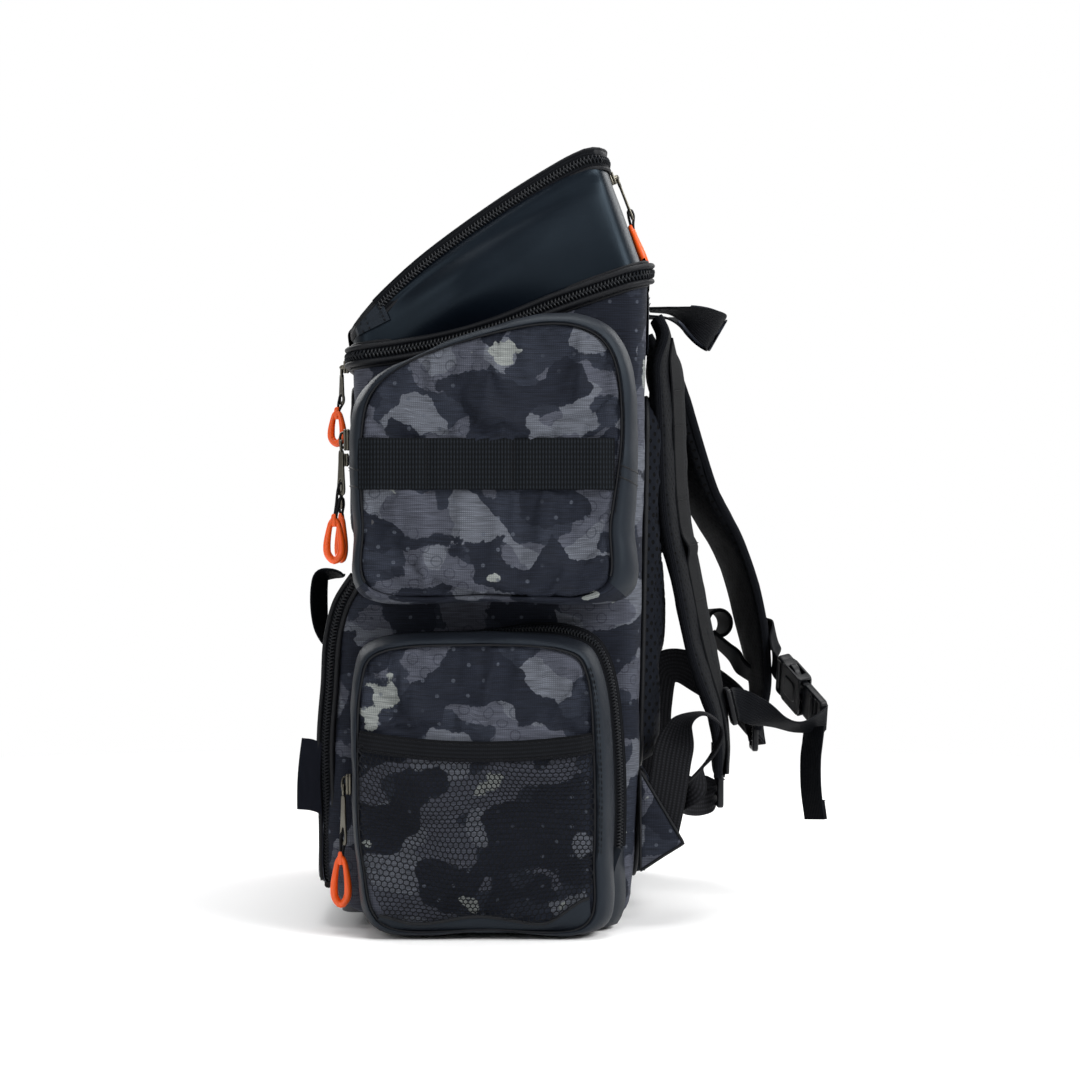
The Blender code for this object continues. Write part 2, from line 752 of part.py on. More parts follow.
def make_handle():
    half = [
        ((0.029, 0.1020, 0.3905), (1, 0, 0)),
        ((0.030, 0.1180, 0.3895), (1, 0.1, 0.1)),
        ((0.027, 0.1340, 0.3850), (0.8, 0.3, 0.5)),
        ((0.016, 0.1450, 0.3790), (0.4, 0.45, 0.8)),
    ]
    middle = [((0.0, 0.1475, 0.3765), (0, 0.5, 0.87))]
    other = [((-x, y, z), (-a, b, c)) for (x, y, z), (a, b, c) in reversed(half)]
    route = [*half, *middle, *other]
    band = smooth_ribbon([p for p, _ in route], [w for _, w in route], (0.026, 0.0030), 26)
    add_piece("grab_handle", band, "black_webbing", HANDLE_HINGE)


def make_sternum_strap():
    along = BUCKLE_AXIS
    outward = (Vector((0, 1, 0)) - along * along.y).normalized()
    across = along.cross(outward)
    turn = Matrix((along, outward, across)).transposed().to_4x4()
    place = Matrix.Translation(BUCKLE_CENTRE) @ turn

    def local_box(low, high):
        solid = box_between(low, high)
        solid.transform(place)
        return solid

    housing = local_box((-0.030, -0.0050, -0.0150), (0.003, 0.0050, 0.0150))
    female = add_piece("buckle_female", housing, "buckle_plastic")
    cut(female, local_box((-0.021, -0.0032, -0.0130), (0.010, 0.0032, 0.0130)), "socket")
    cut(female, local_box((-0.015, -0.0028, -0.0200), (-0.003, 0.0028, 0.0200)), "windows")

    outline = [
        (0.0300, -0.0130),
        (0.0300, 0.0130),
        (0.0050, 0.0130),
        (0.0050, 0.0030),
        (-0.0140, 0.0025),
        (-0.0140, -0.0025),
        (0.0050, -0.0030),
        (0.0050, -0.0130),
    ]
    plug = loft([[(s, n, w) for s, w in outline] for n in (-0.0026, 0.0026)])
    plug.transform(place)
    male = add_piece("buckle_male", plug, "buckle_plastic", BUCKLE_CENTRE)
    for name, sign in (("upper", 1.0), ("lower", -1.0)):
        low, high = sorted((sign * 0.0088, sign * 0.0120))
        arm = local_box((-0.0185, -0.0024, low), (0.0044, 0.0024, high))
        root = place @ Vector((0.0040, 0.0, sign * 0.0104))
        add_piece(f"buckle_arm_{name}", arm, "buckle_plastic", root, male)

    tail = [(0.0165, 0.2105, 0.1080), (0.018, 0.2090, 0.0950), (0.018, 0.2095, 0.0750)]
    tail.append((0.018, 0.2120, 0.0550))
    strip = smooth_ribbon(tail, [(1, 0, 0)] * len(tail), WEB_20, 8)
    add_piece("sternum_tail", strip, "black_webbing", BUCKLE_CENTRE, male)

    lean = Matrix.Rotation(CLIP_LEAN, 3, "X")
    clear = lean @ Vector((0, CLIP_SIZE.y / 2 + WEB_20[1] / 2 + 5 * GAP, 0))
    upright = tuple(lean @ Vector((0, 0, 1)))
    for side, clip in (("right", RIGHT_CLIP), ("left", LEFT_CLIP)):
        block = chamfered_block(CLIP_SIZE, 0.001)
        block.transform(lean.to_4x4())
        block.transform(Matrix.Translation(clip))
        add_piece(f"sternum_clip_{side}", block, "buckle_plastic")
    near = [
        (tuple(RIGHT_CLIP + clear), upright),
        (tuple(RIGHT_CLIP + clear + Vector((-0.0135, 0.0008, 0.0005))), upright),
        ((0.044, 0.1740, 0.1360), (0, 0.1, 1)),
        ((0.033, 0.1890, 0.1345), (0.1, 0.1, 1)),
        ((0.0270, 0.2000, 0.1310), (0.3, 0.2, 1)),
    ]
    far = [
        (tuple(LEFT_CLIP + clear), upright),
        (tuple(LEFT_CLIP + clear + Vector((0.0120, 0.0012, -0.0030))), upright),
        (tuple(BUCKLE_CENTRE - along * 0.0420), tuple(across)),
        (tuple(BUCKLE_CENTRE - along * 0.0312), tuple(across)),
    ]
    for side, route in (("right", near), ("left", far)):
        web = smooth_ribbon([p for p, _ in route], [w for _, w in route], WEB_20, 14)
        add_piece(f"sternum_web_{side}", web, "black_webbing")


# --- zip sliders and pulls ----------------------------------------------------------------------
def make_slider(name, face_point, outward, along, hang=1.0, down=(0, 0, -1)):
    """A slider lying on a zip, with the pull that hangs from it.

    face_point is the middle of the slider's inner face, outward the way it stands out, and
    along the zip's direction. The pull lies along down, and hang scales its length.
    """
    outward, along = Vector(outward).normalized(), Vector(along).normalized()
    across = along.cross(outward)
    wide, tall, thick = SLIDER_SIZE
    rings = []
    for depth, share in ((0.0, 1.0), (0.6 * thick, 1.0), (thick, 0.7)):
        a, b = wide / 2 * share, tall / 2 * share
        centre = Vector(face_point) + outward * depth
        corners = ((-a, -b), (a, -b), (a, b), (-a, b))
        rings.append([centre + across * p + along * q for p, q in corners])
    body = add_piece(f"{name}_slider", loft(rings), "antique_metal", face_point)

    pivot = Vector(face_point) + outward * (thick + PULL_OFFSET)
    down = Vector(down).normalized()
    side = down.cross(outward).normalized()
    rings = []
    for drop, width, depth in PULL_STATIONS:
        centre = pivot + down * (-drop * hang)
        a, b = width / 2, depth / 2
        corners = ((-a, -b), (a, -b), (a, b), (-a, b))
        rings.append([centre + side * p + outward * q for p, q in corners])
    add_piece(f"{name}_pull", loft(rings), "orange_rubber", pivot, body)


def make_sliders():
    front, up, across = (0, -1, 0), (0, 0, 1), (1, 0, 0)
    for side, sign in SIDES:
        make_slider(f"upper_{side}", (sign * 0.159, -0.0862, 0.3000), front, up)
        make_slider(f"lower_{side}", (sign * 0.159, -0.0848, 0.0900), front, up, 1.1)
    lead = rim_path(ZIP_ROLL[0] + 0.0016)
    make_slider("main", (0.045, min(p.y for p in lead), rim_height(-0.09)), front, across, 0.72)
    make_slider("front", (0.080, -0.0920, 0.2900), front, across, 0.92)
    make_slider("door", (-0.1395, -0.0990, 0.1030), (-0.45, -0.89, 0), up)
    rear, slope = (0, 0.933, 0.361), (0, 0.361, -0.933)
    make_slider("lid", (0.100, 0.0738, 0.4660), rear, across, 0.85, slope)


def main():
    clear_scene()
    make_body()
    make_zip_roll("main_zip_lower", -SEAM_GAP)
    make_top_box()
    make_front()
    for side, sign in SIDES:
        make_upper_pocket(side, sign)
        make_lower_pocket(side, sign)
    make_straps()
    make_handle()
    make_sternum_strap()
    make_sliders()


main()
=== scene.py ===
"""The looks of the tackle backpack: fabric panels, zips, webbing, mesh, pads, plastic and metal.

Metres, in the frame's own axes: the front faces -Y, the straps +Y, "right" is +X. Each piece is
built round the CAD node that it stands for. Every mesh carries two attributes that the materials
read: "rest", its place before any joint moves, and "flat", its place along the cloth in metres.
"""

import math

import bpy
import numpy as np
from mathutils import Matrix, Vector, noise


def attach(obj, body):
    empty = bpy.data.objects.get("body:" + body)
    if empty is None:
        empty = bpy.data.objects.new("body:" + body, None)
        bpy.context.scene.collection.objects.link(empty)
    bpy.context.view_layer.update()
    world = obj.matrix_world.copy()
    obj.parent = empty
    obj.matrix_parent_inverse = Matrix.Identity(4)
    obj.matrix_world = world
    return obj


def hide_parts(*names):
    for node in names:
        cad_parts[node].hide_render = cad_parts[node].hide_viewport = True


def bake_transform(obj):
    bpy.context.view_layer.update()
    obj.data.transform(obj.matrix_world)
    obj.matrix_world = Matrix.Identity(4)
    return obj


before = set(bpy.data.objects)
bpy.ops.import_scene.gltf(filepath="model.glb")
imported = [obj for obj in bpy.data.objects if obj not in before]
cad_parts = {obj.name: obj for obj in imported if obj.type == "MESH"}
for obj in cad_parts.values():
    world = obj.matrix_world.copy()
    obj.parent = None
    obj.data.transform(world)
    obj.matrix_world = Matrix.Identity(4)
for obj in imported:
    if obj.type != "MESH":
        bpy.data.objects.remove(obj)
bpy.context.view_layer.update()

# --- sizes repeated from the part's source --------------------------------------------------------
HALF_WIDTH = 0.143
CORNER = (0.020, 0.012)  # upright corners: reach along X and along Y
REACH = 0.098
POCKET_FACE = 0.190
POCKET_ZIP = 0.158
WINDOW = (0.126, 0.034, 0.198)  # tray opening: half width, lower edge, upper edge
RIM_LINE = (
    (-0.090, 0.3515), (-0.056, 0.3560), (-0.025, 0.3620), (0.005, 0.3710), (0.036, 0.3835),
    (0.067, 0.3945), (0.097, 0.4045),
)
TOP_LINE = (
    (-0.087, 0.368), (-0.065, 0.393), (-0.038, 0.417), (0.005, 0.448), (0.042, 0.471), (0.0595, 0.4795),
)
FRONT_LINE = (
    (-0.0980, 0.0240), (-0.1035, 0.0360), (-0.1015, 0.1030), (-0.0985, 0.1465), (-0.0965, 0.1770),
    (-0.0910, 0.1990), (-0.0800, 0.2170),
)
FRONT_ABOVE = ((-0.0840, 0.2260), (-0.0860, 0.3400), (-0.0865, 0.3530))
REAR_LINE = ((0.0780, 0.0045), (0.0870, 0.0240), (0.0915, 0.1160), (0.0970, 0.4030))
UPPER_FACE = (
    (-0.070, 0.209), (-0.076, 0.250), (-0.077, 0.300), (-0.068, 0.331), (-0.034, 0.352),
    (0.026, 0.3675), (0.060, 0.3640), (0.0755, 0.343), (0.0785, 0.300), (0.072, 0.250), (0.066, 0.209),
    (0.000, 0.206),
)
UPPER_RIM = (
    (-0.076, 0.204), (-0.083, 0.250), (-0.0855, 0.303), (-0.0755, 0.332), (-0.036, 0.3545),
    (0.028, 0.3755), (0.066, 0.372), (0.085, 0.348), (0.0895, 0.300), (0.0875, 0.250), (0.082, 0.204),
    (0.000, 0.202),
)
LOWER_FACE = (
    (-0.062, 0.008), (-0.076, 0.046), (-0.079, 0.100), (-0.077, 0.152), (-0.064, 0.172),
    (-0.010, 0.176), (0.042, 0.173), (0.058, 0.158), (0.062, 0.110), (0.062, 0.050), (0.056, 0.008),
    (0.000, 0.006),
)
LOWER_RIM = (  # the zip shows behind it, so its rear edge lies inside the part's
    (-0.068, 0.004), (-0.081, 0.046), (-0.084, 0.100), (-0.083, 0.157), (-0.069, 0.179),
    (-0.010, 0.1835), (0.047, 0.1800), (0.067, 0.1630), (0.0745, 0.110), (0.0745, 0.050),
    (0.068, 0.004), (0.000, 0.003),
)
MOLLE_BAND = (0.269, 0.300)
RIGHT_STRAP = (
    (0.080, 0.1045, 0.3800), (0.080, 0.1110, 0.3660), (0.079, 0.1150, 0.3480), (0.077, 0.1168, 0.3200),
    (0.075, 0.1180, 0.2850), (0.073, 0.1200, 0.2500), (0.072, 0.1240, 0.2200), (0.072, 0.1290, 0.1900),
    (0.074, 0.1355, 0.1600), (0.076, 0.1430, 0.1300), (0.077, 0.1455, 0.1080), (0.078, 0.1450, 0.0940),
)
LEFT_STRAP = (
    (0.080, 0.1045, 0.3800), (0.080, 0.1130, 0.3660), (0.079, 0.1220, 0.3500), (0.078, 0.1290, 0.3300),
    (0.077, 0.1366, 0.3040), (0.075, 0.1480, 0.2670), (0.074, 0.1605, 0.2380), (0.074, 0.1695, 0.2120),
    (0.074, 0.1750, 0.1900), (0.075, 0.1810, 0.1580), (0.076, 0.1830, 0.1350), (0.077, 0.1800, 0.1180),
)
RIGHT_ADJUSTER = (
    ((0.129, 0.1035, 0.056), (0, 1, -0.15)), ((0.129, 0.1070, 0.072), (0, 1, -0.15)),
    ((0.129, 0.1100, 0.090), (0, 1, -0.1)), ((0.129, 0.1130, 0.108), (0.15, 1, 0)),
    ((0.128, 0.1190, 0.126), (1, 0.6, 0)), ((0.126, 0.1320, 0.131), (1, 0, 0)),
    ((0.126, 0.1430, 0.122), (1, 0, 0)), ((0.124, 0.1390, 0.108), (1, 0, 0)),
    ((0.118, 0.1270, 0.092), (1, 0, 0.3)), ((0.104, 0.1215, 0.080), (0.3, 0, 1)),
    ((0.091, 0.1290, 0.076), (0, 0, 1)), ((0.083, 0.1375, 0.077), (0, 0, 1)),
)
RIGHT_ADJUSTER_END = (
    ((0.0795, 0.1420, 0.0800), (0.7, 0, 0.7)), ((0.0780, 0.1462, 0.0850), (1, 0, 0.1)),
)
LEFT_ADJUSTER_SHOWN = (  # folded over behind the near strap, with its face to the side
    ((0.129, 0.1035, 0.056), (0, 1, -0.15)), ((0.129, 0.1075, 0.074), (0, 1, -0.15)),
    ((0.129, 0.1110, 0.098), (0, 1, 0)), ((0.129, 0.1125, 0.122), (0, 1, -0.1)),
    ((0.128, 0.1170, 0.145), (0, 0.75, -0.65)), ((0.127, 0.1300, 0.149), (0.1, 0.25, -1)),
    ((0.125, 0.1450, 0.1410), (0.15, -0.35, -1)), ((0.119, 0.1590, 0.1320), (0.2, -0.35, -1)),
    ((0.106, 0.1700, 0.1230), (0.3, -0.25, -1)), ((0.092, 0.1765, 0.1130), (0.5, -0.1, -0.9)),
    ((0.080, 0.1800, 0.1050), (1, 0, -0.3)), ((0.0775, 0.1815, 0.1080), (1, 0, 0)),
)
BUCKLE_CENTRE = np.array((-0.010, 0.2065, 0.1350))
BUCKLE_AXIS = np.array((0.778, 0.395, -0.488))
PULL_OFFSET = 0.0050  # from the slider's inner face to the pull's pivot
STRAP_LEAN = math.radians(13)  # how far the shoulder straps lean where the chest strap's clips sit
CLIP_PLACES = {"right": (0.066, 0.1525, 0.1320), "left": (-0.066, 0.1868, 0.1745)}

# --- sizes of the looks ---------------------------------------------------------------------------
RIM_FRONT = -0.0865  # the rim between the body and the top box, at the front
BODY_RIM_REAR = 0.0968  # its rear, where the body's skin ends
BOX_RIM_REAR = 0.0950  # and where the top box's skin starts, a little further in
DOOR_HALF_WIDTH = 0.1335
POCKET_FOOT = 0.204  # height of the upper pocket's lower edge
FRONT_ZIP_HEIGHT = 0.2900
NET_FACE = POCKET_FACE + 0.0040  # where the net and its hem hang in front of the lower cover
POCKET_POINTS = 168  # points round a side pocket's outlines

SIDES = (("right", 1.0), ("left", -1.0))
ASIDE = np.array((1.0, 0, 0))
FORWARD = np.array((0, -1.0, 0))
BACKWARD = np.array((0, 1.0, 0))
UPWARD = np.array((0, 0, 1.0))


# --- curves and grids -----------------------------------------------------------------------------
def unit(vectors):
    """Vectors of length 1."""
    vectors = np.asarray(vectors, float)
    return vectors / np.maximum(np.linalg.norm(vectors, axis=-1, keepdims=True), 1e-12)


def catmull(points, closed=False):
    """A smooth curve through points of any dimension."""
    spots = np.asarray(points, float)
    if closed:
        spots = np.vstack([spots[-1:], spots, spots[:2]])
    else:
        spots = np.vstack([2 * spots[:1] - spots[1:2], spots, 2 * spots[-1:] - spots[-2:-1]])
    t = np.linspace(0, 1, 10, endpoint=False)[:, None]
    curve = []
    for a, b, c, d in zip(spots, spots[1:], spots[2:], spots[3:]):
        curve.append(
            0.5 * (2 * b + (c - a) * t + (2 * a - 5 * b + 4 * c - d) * t**2)
            + 0.5 * (3 * b - a - 3 * c + d) * t**3
        )
    if not closed:
        curve.append(spots[-2:-1])
    return np.vstack(curve)


def lengths(line):
    """Distance along a polyline, at each of its points."""
    steps = np.linalg.norm(np.diff(np.asarray(line, float), axis=0), axis=1)
    return np.r_[0, np.cumsum(steps)]


def spread(line, count, closed=False, ride_along=None):
    """Count points at even distances along a polyline, with what rides along it."""
    line = np.asarray(line, float)
    extra = line if ride_along is None else np.hstack([line, ride_along])
    if closed:
        line, extra = np.vstack([line, line[:1]]), np.vstack([extra, extra[:1]])
    along = lengths(line)
    at = np.linspace(0, along[-1], count + closed)[: count if closed else None]
    return np.stack([np.interp(at, along, column) for column in extra.T], axis=1)


def smooth_outline(points, count):
    """A closed curve through points, as evenly spaced points."""
    return spread(catmull(points, closed=True), count, closed=True)


def evenly(path, out, count):
    """Count points at even distances along a path, and the way that it faces at each."""
    path = np.asarray(path, float)
    both = spread(path, count, ride_along=np.broadcast_to(np.asarray(out, float), path.shape))
    return both[:, :3], both[:, 3:]


def shrink(outline, distance):
    """A closed (Y, Z) outline moved inwards by a distance, along its normals."""
    way = unit(np.roll(outline, -1, axis=0) - np.roll(outline, 1, axis=0))
    normal = np.stack([way[:, 1], -way[:, 0]], axis=1)
    if ((outline.mean(axis=0) - outline) * normal).sum() < 0:
        normal = -normal
    return outline + normal * np.reshape(distance, (-1, 1))


def rounded_rectangle(half_width, low, high, radius, turns=10):
    """A closed (X, Z) outline, round at its corners and even about X = 0."""
    corner = np.linspace(0, math.pi / 2, turns)
    mid, tall = (low + high) / 2, (high - low) / 2
    x = half_width - radius + radius * np.cos(corner)
    z = tall - radius + radius * np.sin(corner)
    quarter = np.stack([x, z], axis=1)
    upper = np.vstack([quarter, quarter[::-1] * (-1, 1)])
    outline = np.vstack([upper, upper[::-1] * (1, -1)])
    return spread(outline, 160, closed=True) + (0, mid)


def lattice(spots, wrap_columns=False, wrap_rows=False, flat=None, keep=None):
    """Quads over a grid of points: rows x columns x 3. Returns points, faces and flat places."""
    spots = np.asarray(spots, float)
    rows, columns = spots.shape[:2]
    if flat is None:
        across = np.linalg.norm(np.diff(spots, axis=1), axis=2).mean(axis=0)
        along = np.linalg.norm(np.diff(spots, axis=0), axis=2).mean(axis=1)
        u, v = np.r_[0, np.cumsum(across)], np.r_[0, np.cumsum(along)]
        flat = np.stack(np.meshgrid(u, v), axis=-1)
    number = np.arange(rows * columns).reshape(rows, columns)
    low = number if wrap_rows else number[:-1]
    high = np.roll(number, -1, axis=0) if wrap_rows else number[1:]
    if wrap_columns:
        quads = np.stack([low, np.roll(low, -1, 1), np.roll(high, -1, 1), high], axis=-1)
    else:
        quads = np.stack([low[:, :-1], low[:, 1:], high[:, 1:], high[:, :-1]], axis=-1)
    if keep is not None:
        quads = quads[keep]
    faces = [tuple(q) for q in quads.reshape(-1, 4).tolist()]
    return spots.reshape(-1, 3), faces, np.asarray(flat, float).reshape(-1, 2)


def grid_normals(spots, wrap_columns=False):
    """Unit normals of a grid, pointing along columns x rows."""
    if wrap_columns:
        across = np.roll(spots, -1, axis=1) - np.roll(spots, 1, axis=1)
    else:
        across = np.gradient(spots, axis=1)
    return unit(np.cross(across, np.gradient(spots, axis=0)))


def frames(path, out, loop=False):
    """Directions along a path, across it and outwards from it."""
    path = np.asarray(path, float)
    if loop:
        ahead = unit(np.roll(path, -1, axis=0) - np.roll(path, 1, axis=0))
    else:
        ahead = unit(np.gradient(path, axis=0))
    across = unit(np.cross(ahead, np.broadcast_to(np.asarray(out, float), path.shape)))
    return ahead, across, np.cross(across, ahead)


def sweep(path, out, profile, loop=False, scale=None):
    """A profile of (across, outward) points drawn along a path, with its ends closed."""
    path, shape = np.asarray(path, float), np.asarray(profile, float)
    _, across, outward = frames(path, out, loop)
    size = np.ones((len(path), 1, 1)) if scale is None else np.reshape(scale, (-1, 1, 1))
    spots = (
        path[:, None]
        + across[:, None] * shape[None, :, 0:1] * size
        + outward[:, None] * shape[None, :, 1:2] * size
    )
    flat = np.stack(np.meshgrid(lengths(shape), lengths(path)), axis=-1)
    verts, faces, flat = lattice(spots, True, loop, flat)
    if not loop:
        count = len(shape)
        last = (len(path) - 1) * count
        faces.append(tuple(reversed(range(count))))
        faces.append(tuple(range(last, last + count)))
    return verts, faces, flat


def circle(radius, sides=10, squash=1.0):
    """A closed round or oval section."""
    turns = np.arange(sides) * 2 * math.pi / sides
    return np.stack([radius * np.cos(turns), radius * squash * np.sin(turns)], axis=1)


def tube(path, radius, out=(0, 0, 1), sides=10, loop=False, scale=None):
    return sweep(path, out, circle(radius, sides), loop, scale=scale)


def band(width, thick, edge=None, crown=0.0, steps=5):
    """A flat band's section with round edges; crown lifts the middle of both faces."""
    half, deep = width / 2, thick / 2
    edge = deep if edge is None else edge
    across = np.linspace(-(half - edge), half - edge, steps)
    lift = deep + crown * (1 - (across / half) ** 2)
    turns = np.radians((60, 30, 0, -30, -60))
    right = np.stack([half - edge + edge * np.cos(turns), deep * np.sin(turns)], axis=1)
    top = np.stack([across, lift], axis=1)
    return np.vstack([top, right, -top, -right])


def at_path(template, path, out, picks=slice(None), mirror=1.0):
    """Copies of a small part laid along a path. The part's points are (across, outward, ahead)."""
    verts, faces, flat = template
    ahead, across, outward = frames(path, out)
    path, ahead, across, outward = (
        part[picks] for part in (np.asarray(path, float), ahead, across, outward)
    )
    count = len(verts)
    spots = (
        path[:, None]
        + across[:, None] * verts[None, :, 0:1] * mirror
        + outward[:, None] * verts[None, :, 1:2]
        + ahead[:, None] * verts[None, :, 2:3]
    )
    order = 1 if mirror > 0 else -1
    every = [tuple(k + i * count for k in face[::order]) for i in range(len(path)) for face in faces]
    return spots.reshape(-1, 3), every, np.tile(flat, (len(path), 1))


def join(parts):
    """Parts made into one. A part is its points, its faces and its points' places along the cloth."""
    verts, faces, flat, base = [], [], [], 0
    for spots, quads, place in parts:
        faces += [tuple(k + base for k in face) for face in quads]
        verts.append(spots)
        flat.append(place)
        base += len(spots)
    return np.vstack(verts), faces, np.vstack(flat)


def moved(part, shift):
    verts, faces, flat = part
    return verts + shift, faces, flat


def turned(part, turn):
    verts, faces, flat = part
    return verts @ turn, faces, flat


def ribbon(route, count, sign=1.0):
    """The middle line of a webbing and the way it faces, from (point, way of its width) pairs."""
    line, wide = evenly(catmull([p for p, _ in route]), catmull([w for _, w in route]), count)
    line, wide = line * (sign, 1, 1), unit(wide * (sign, 1, 1))
    return line, unit(np.cross(wide, unit(np.gradient(line, axis=0))))


def perimeter(ring):
    """Distance round a closed line, at each of its points."""
    return lengths(np.vstack([ring, ring[:1]]))[:-1]


def together(*parts):
    """Coordinates of different shapes, stretched to one shape and stacked as points."""
    return np.stack(np.broadcast_arrays(*parts), axis=-1)


def on_plan(plan, z):
    """(X, Y) points raised to a height."""
    return together(plan[..., 0], plan[..., 1], z)


def on_side(x, upright):
    """(Y, Z) points set out to X."""
    return together(x, upright[..., 0], upright[..., 1])


def ruffle(spots, normals, size, scale, seed):
    """Moves points along their normals by smooth noise, as cloth that isn't quite flat."""
    shape = spots.shape
    flat_spots, flat_normals = spots.reshape(-1, 3), np.broadcast_to(normals, shape).reshape(-1, 3)
    shift = np.array([noise.noise(Vector(p * scale) + Vector((seed, 0, 0))) for p in flat_spots])
    size = np.broadcast_to(np.asarray(size, float), shape[:-1]).reshape(-1)
    return (flat_spots + flat_normals * (shift * size)[:, None]).reshape(shape)


def square_to_outline(outline, count):
    """A square grid of points that fills a closed outline, and how near each is to the edge.

    The rows shrink towards the middle, so there is no pole. Returns (Y, Z) points and 0..1.
    """
    side = np.linspace(-1, 1, count)
    u, v = np.meshgrid(side, side)
    reach = np.maximum(np.abs(u), np.abs(v))
    safe = np.maximum(reach, 1e-9)
    quarters = [u >= np.abs(v), v >= np.abs(u), -u >= np.abs(v)]
    place = np.select(quarters, [v / safe, 2 - u / safe, 4 - v / safe], 6 + u / safe) % 8 / 8
    centre = outline.mean(axis=0)
    angles = np.arctan2(outline[:, 1] - centre[1], outline[:, 0] - centre[0])
    start = int(np.argmin(np.abs(angles)))
    line = np.roll(outline, -start, axis=0)
    first, later = line[0] - centre, line[3] - centre
    if first[0] * later[1] < first[1] * later[0]:
        line = np.roll(line[::-1], 1, axis=0)
    line = np.vstack([line, line[:1]])
    share = lengths(line) / lengths(line)[-1]
    rim = np.stack([np.interp(place, share, column) for column in line.T], axis=-1)
    return centre + (rim - centre) * reach[..., None], reach


# --- objects --------------------------------------------------------------------------------------
MATERIALS = {}


def flip(part, sign):
    """A part or a list of parts, or its mirror image on the other side of the bag."""
    if sign > 0:
        return part
    if isinstance(part, list):
        return [flip(each, sign) for each in part]
    verts, faces, flat = part
    return verts * (-1, 1, 1), [face[::-1] for face in faces], flat


def vertex_places(mesh):
    places = np.empty(len(mesh.vertices) * 3)
    mesh.vertices.foreach_get("co", places)
    return places.reshape(-1, 3)


def settle_cloth(piece, held, grow=0.05, pressure=0.0, gravity=1.0, frames=22, cap=0.006):
    """Let a sheet held at some of its points slacken, fill and sag as cloth, within a cap."""
    mesh = piece.data
    start = vertex_places(mesh)
    group = piece.vertex_groups.new(name="held")
    group.add(np.nonzero(held)[0].tolist(), 1.0, "REPLACE")
    cloth = piece.modifiers.new("cloth", "CLOTH")
    how = cloth.settings
    how.quality, how.mass, how.air_damping = 5, 0.12, 2.0
    how.tension_stiffness = how.compression_stiffness = 22.0
    how.shear_stiffness, how.bending_stiffness = 9.0, 0.6
    how.vertex_group_mass = "held"
    how.shrink_min = -grow
    how.effector_weights.gravity = gravity
    if pressure:
        how.use_pressure, how.uniform_pressure_force = True, pressure
    cloth.collision_settings.use_collision = False
    cloth.collision_settings.use_self_collision = False
    cloth.point_cache.frame_start, cloth.point_cache.frame_end = 1, frames
    scene = bpy.context.scene
    for number in range(1, frames + 1):
        scene.frame_set(number)
    shown = piece.evaluated_get(bpy.context.evaluated_depsgraph_get()).data
    gone = vertex_places(shown) - start
    far = np.linalg.norm(gone, axis=1, keepdims=True)
    kept = start + gone * np.tanh(far / cap) * cap / np.maximum(far, 1e-9)
    piece.modifiers.remove(cloth)
    piece.vertex_groups.clear()
    mesh.vertices.foreach_set("co", kept.ravel())
    mesh.update()
    scene.frame_set(1)
    most, mean = far.max() * 1000, far.mean() * 1000
    print(f"CLOTH {piece.name}: moved up to {most:.1f} mm, {mean:.2f} on average")


def add(name, parts, material, body, stands_for=(), shift=(0, 0, 0), settle=None):
    """An object from one part or a list of parts.

    body is the body it rides on, or (body, body, start, end) for a piece between two bodies; such a piece
    rides on neither and only has its transform baked.
    shift moves the printed pattern over the piece, and settle holds settle_cloth's arguments.
    """
    verts, faces, flat = join(parts) if isinstance(parts, list) else parts
    mesh = bpy.data.meshes.new(name)
    mesh.from_pydata(verts.tolist(), [], faces)
    mesh.validate()
    place = mesh.attributes.new("flat", "FLOAT_VECTOR", "POINT")
    deep = np.zeros((len(verts), 3), np.float32)
    deep[:, :2] = flat
    place.data.foreach_set("vector", deep.ravel())
    rest = mesh.attributes.new("rest", "FLOAT_VECTOR", "POINT")
    rest.data.foreach_set("vector", (verts + np.array(shift)).astype(np.float32).ravel())
    mesh.materials.append(MATERIALS[material])
    mesh.shade_smooth()
    mesh.set_sharp_from_angle(angle=math.radians(50))
    piece = bpy.data.objects.new(name, mesh)
    bpy.context.scene.collection.objects.link(piece)
    if settle:
        settle_cloth(piece, np.ravel(settle.pop("held")), **settle)
    if stands_for:
        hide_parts(*stands_for)
    if isinstance(body, str):
        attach(piece, body)
    else:
        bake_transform(piece)
    return piece


# --- materials ------------------------------------------------------------------------------------
WAVE = math.pi / 10  # a Wave texture's scale times the length of one wave


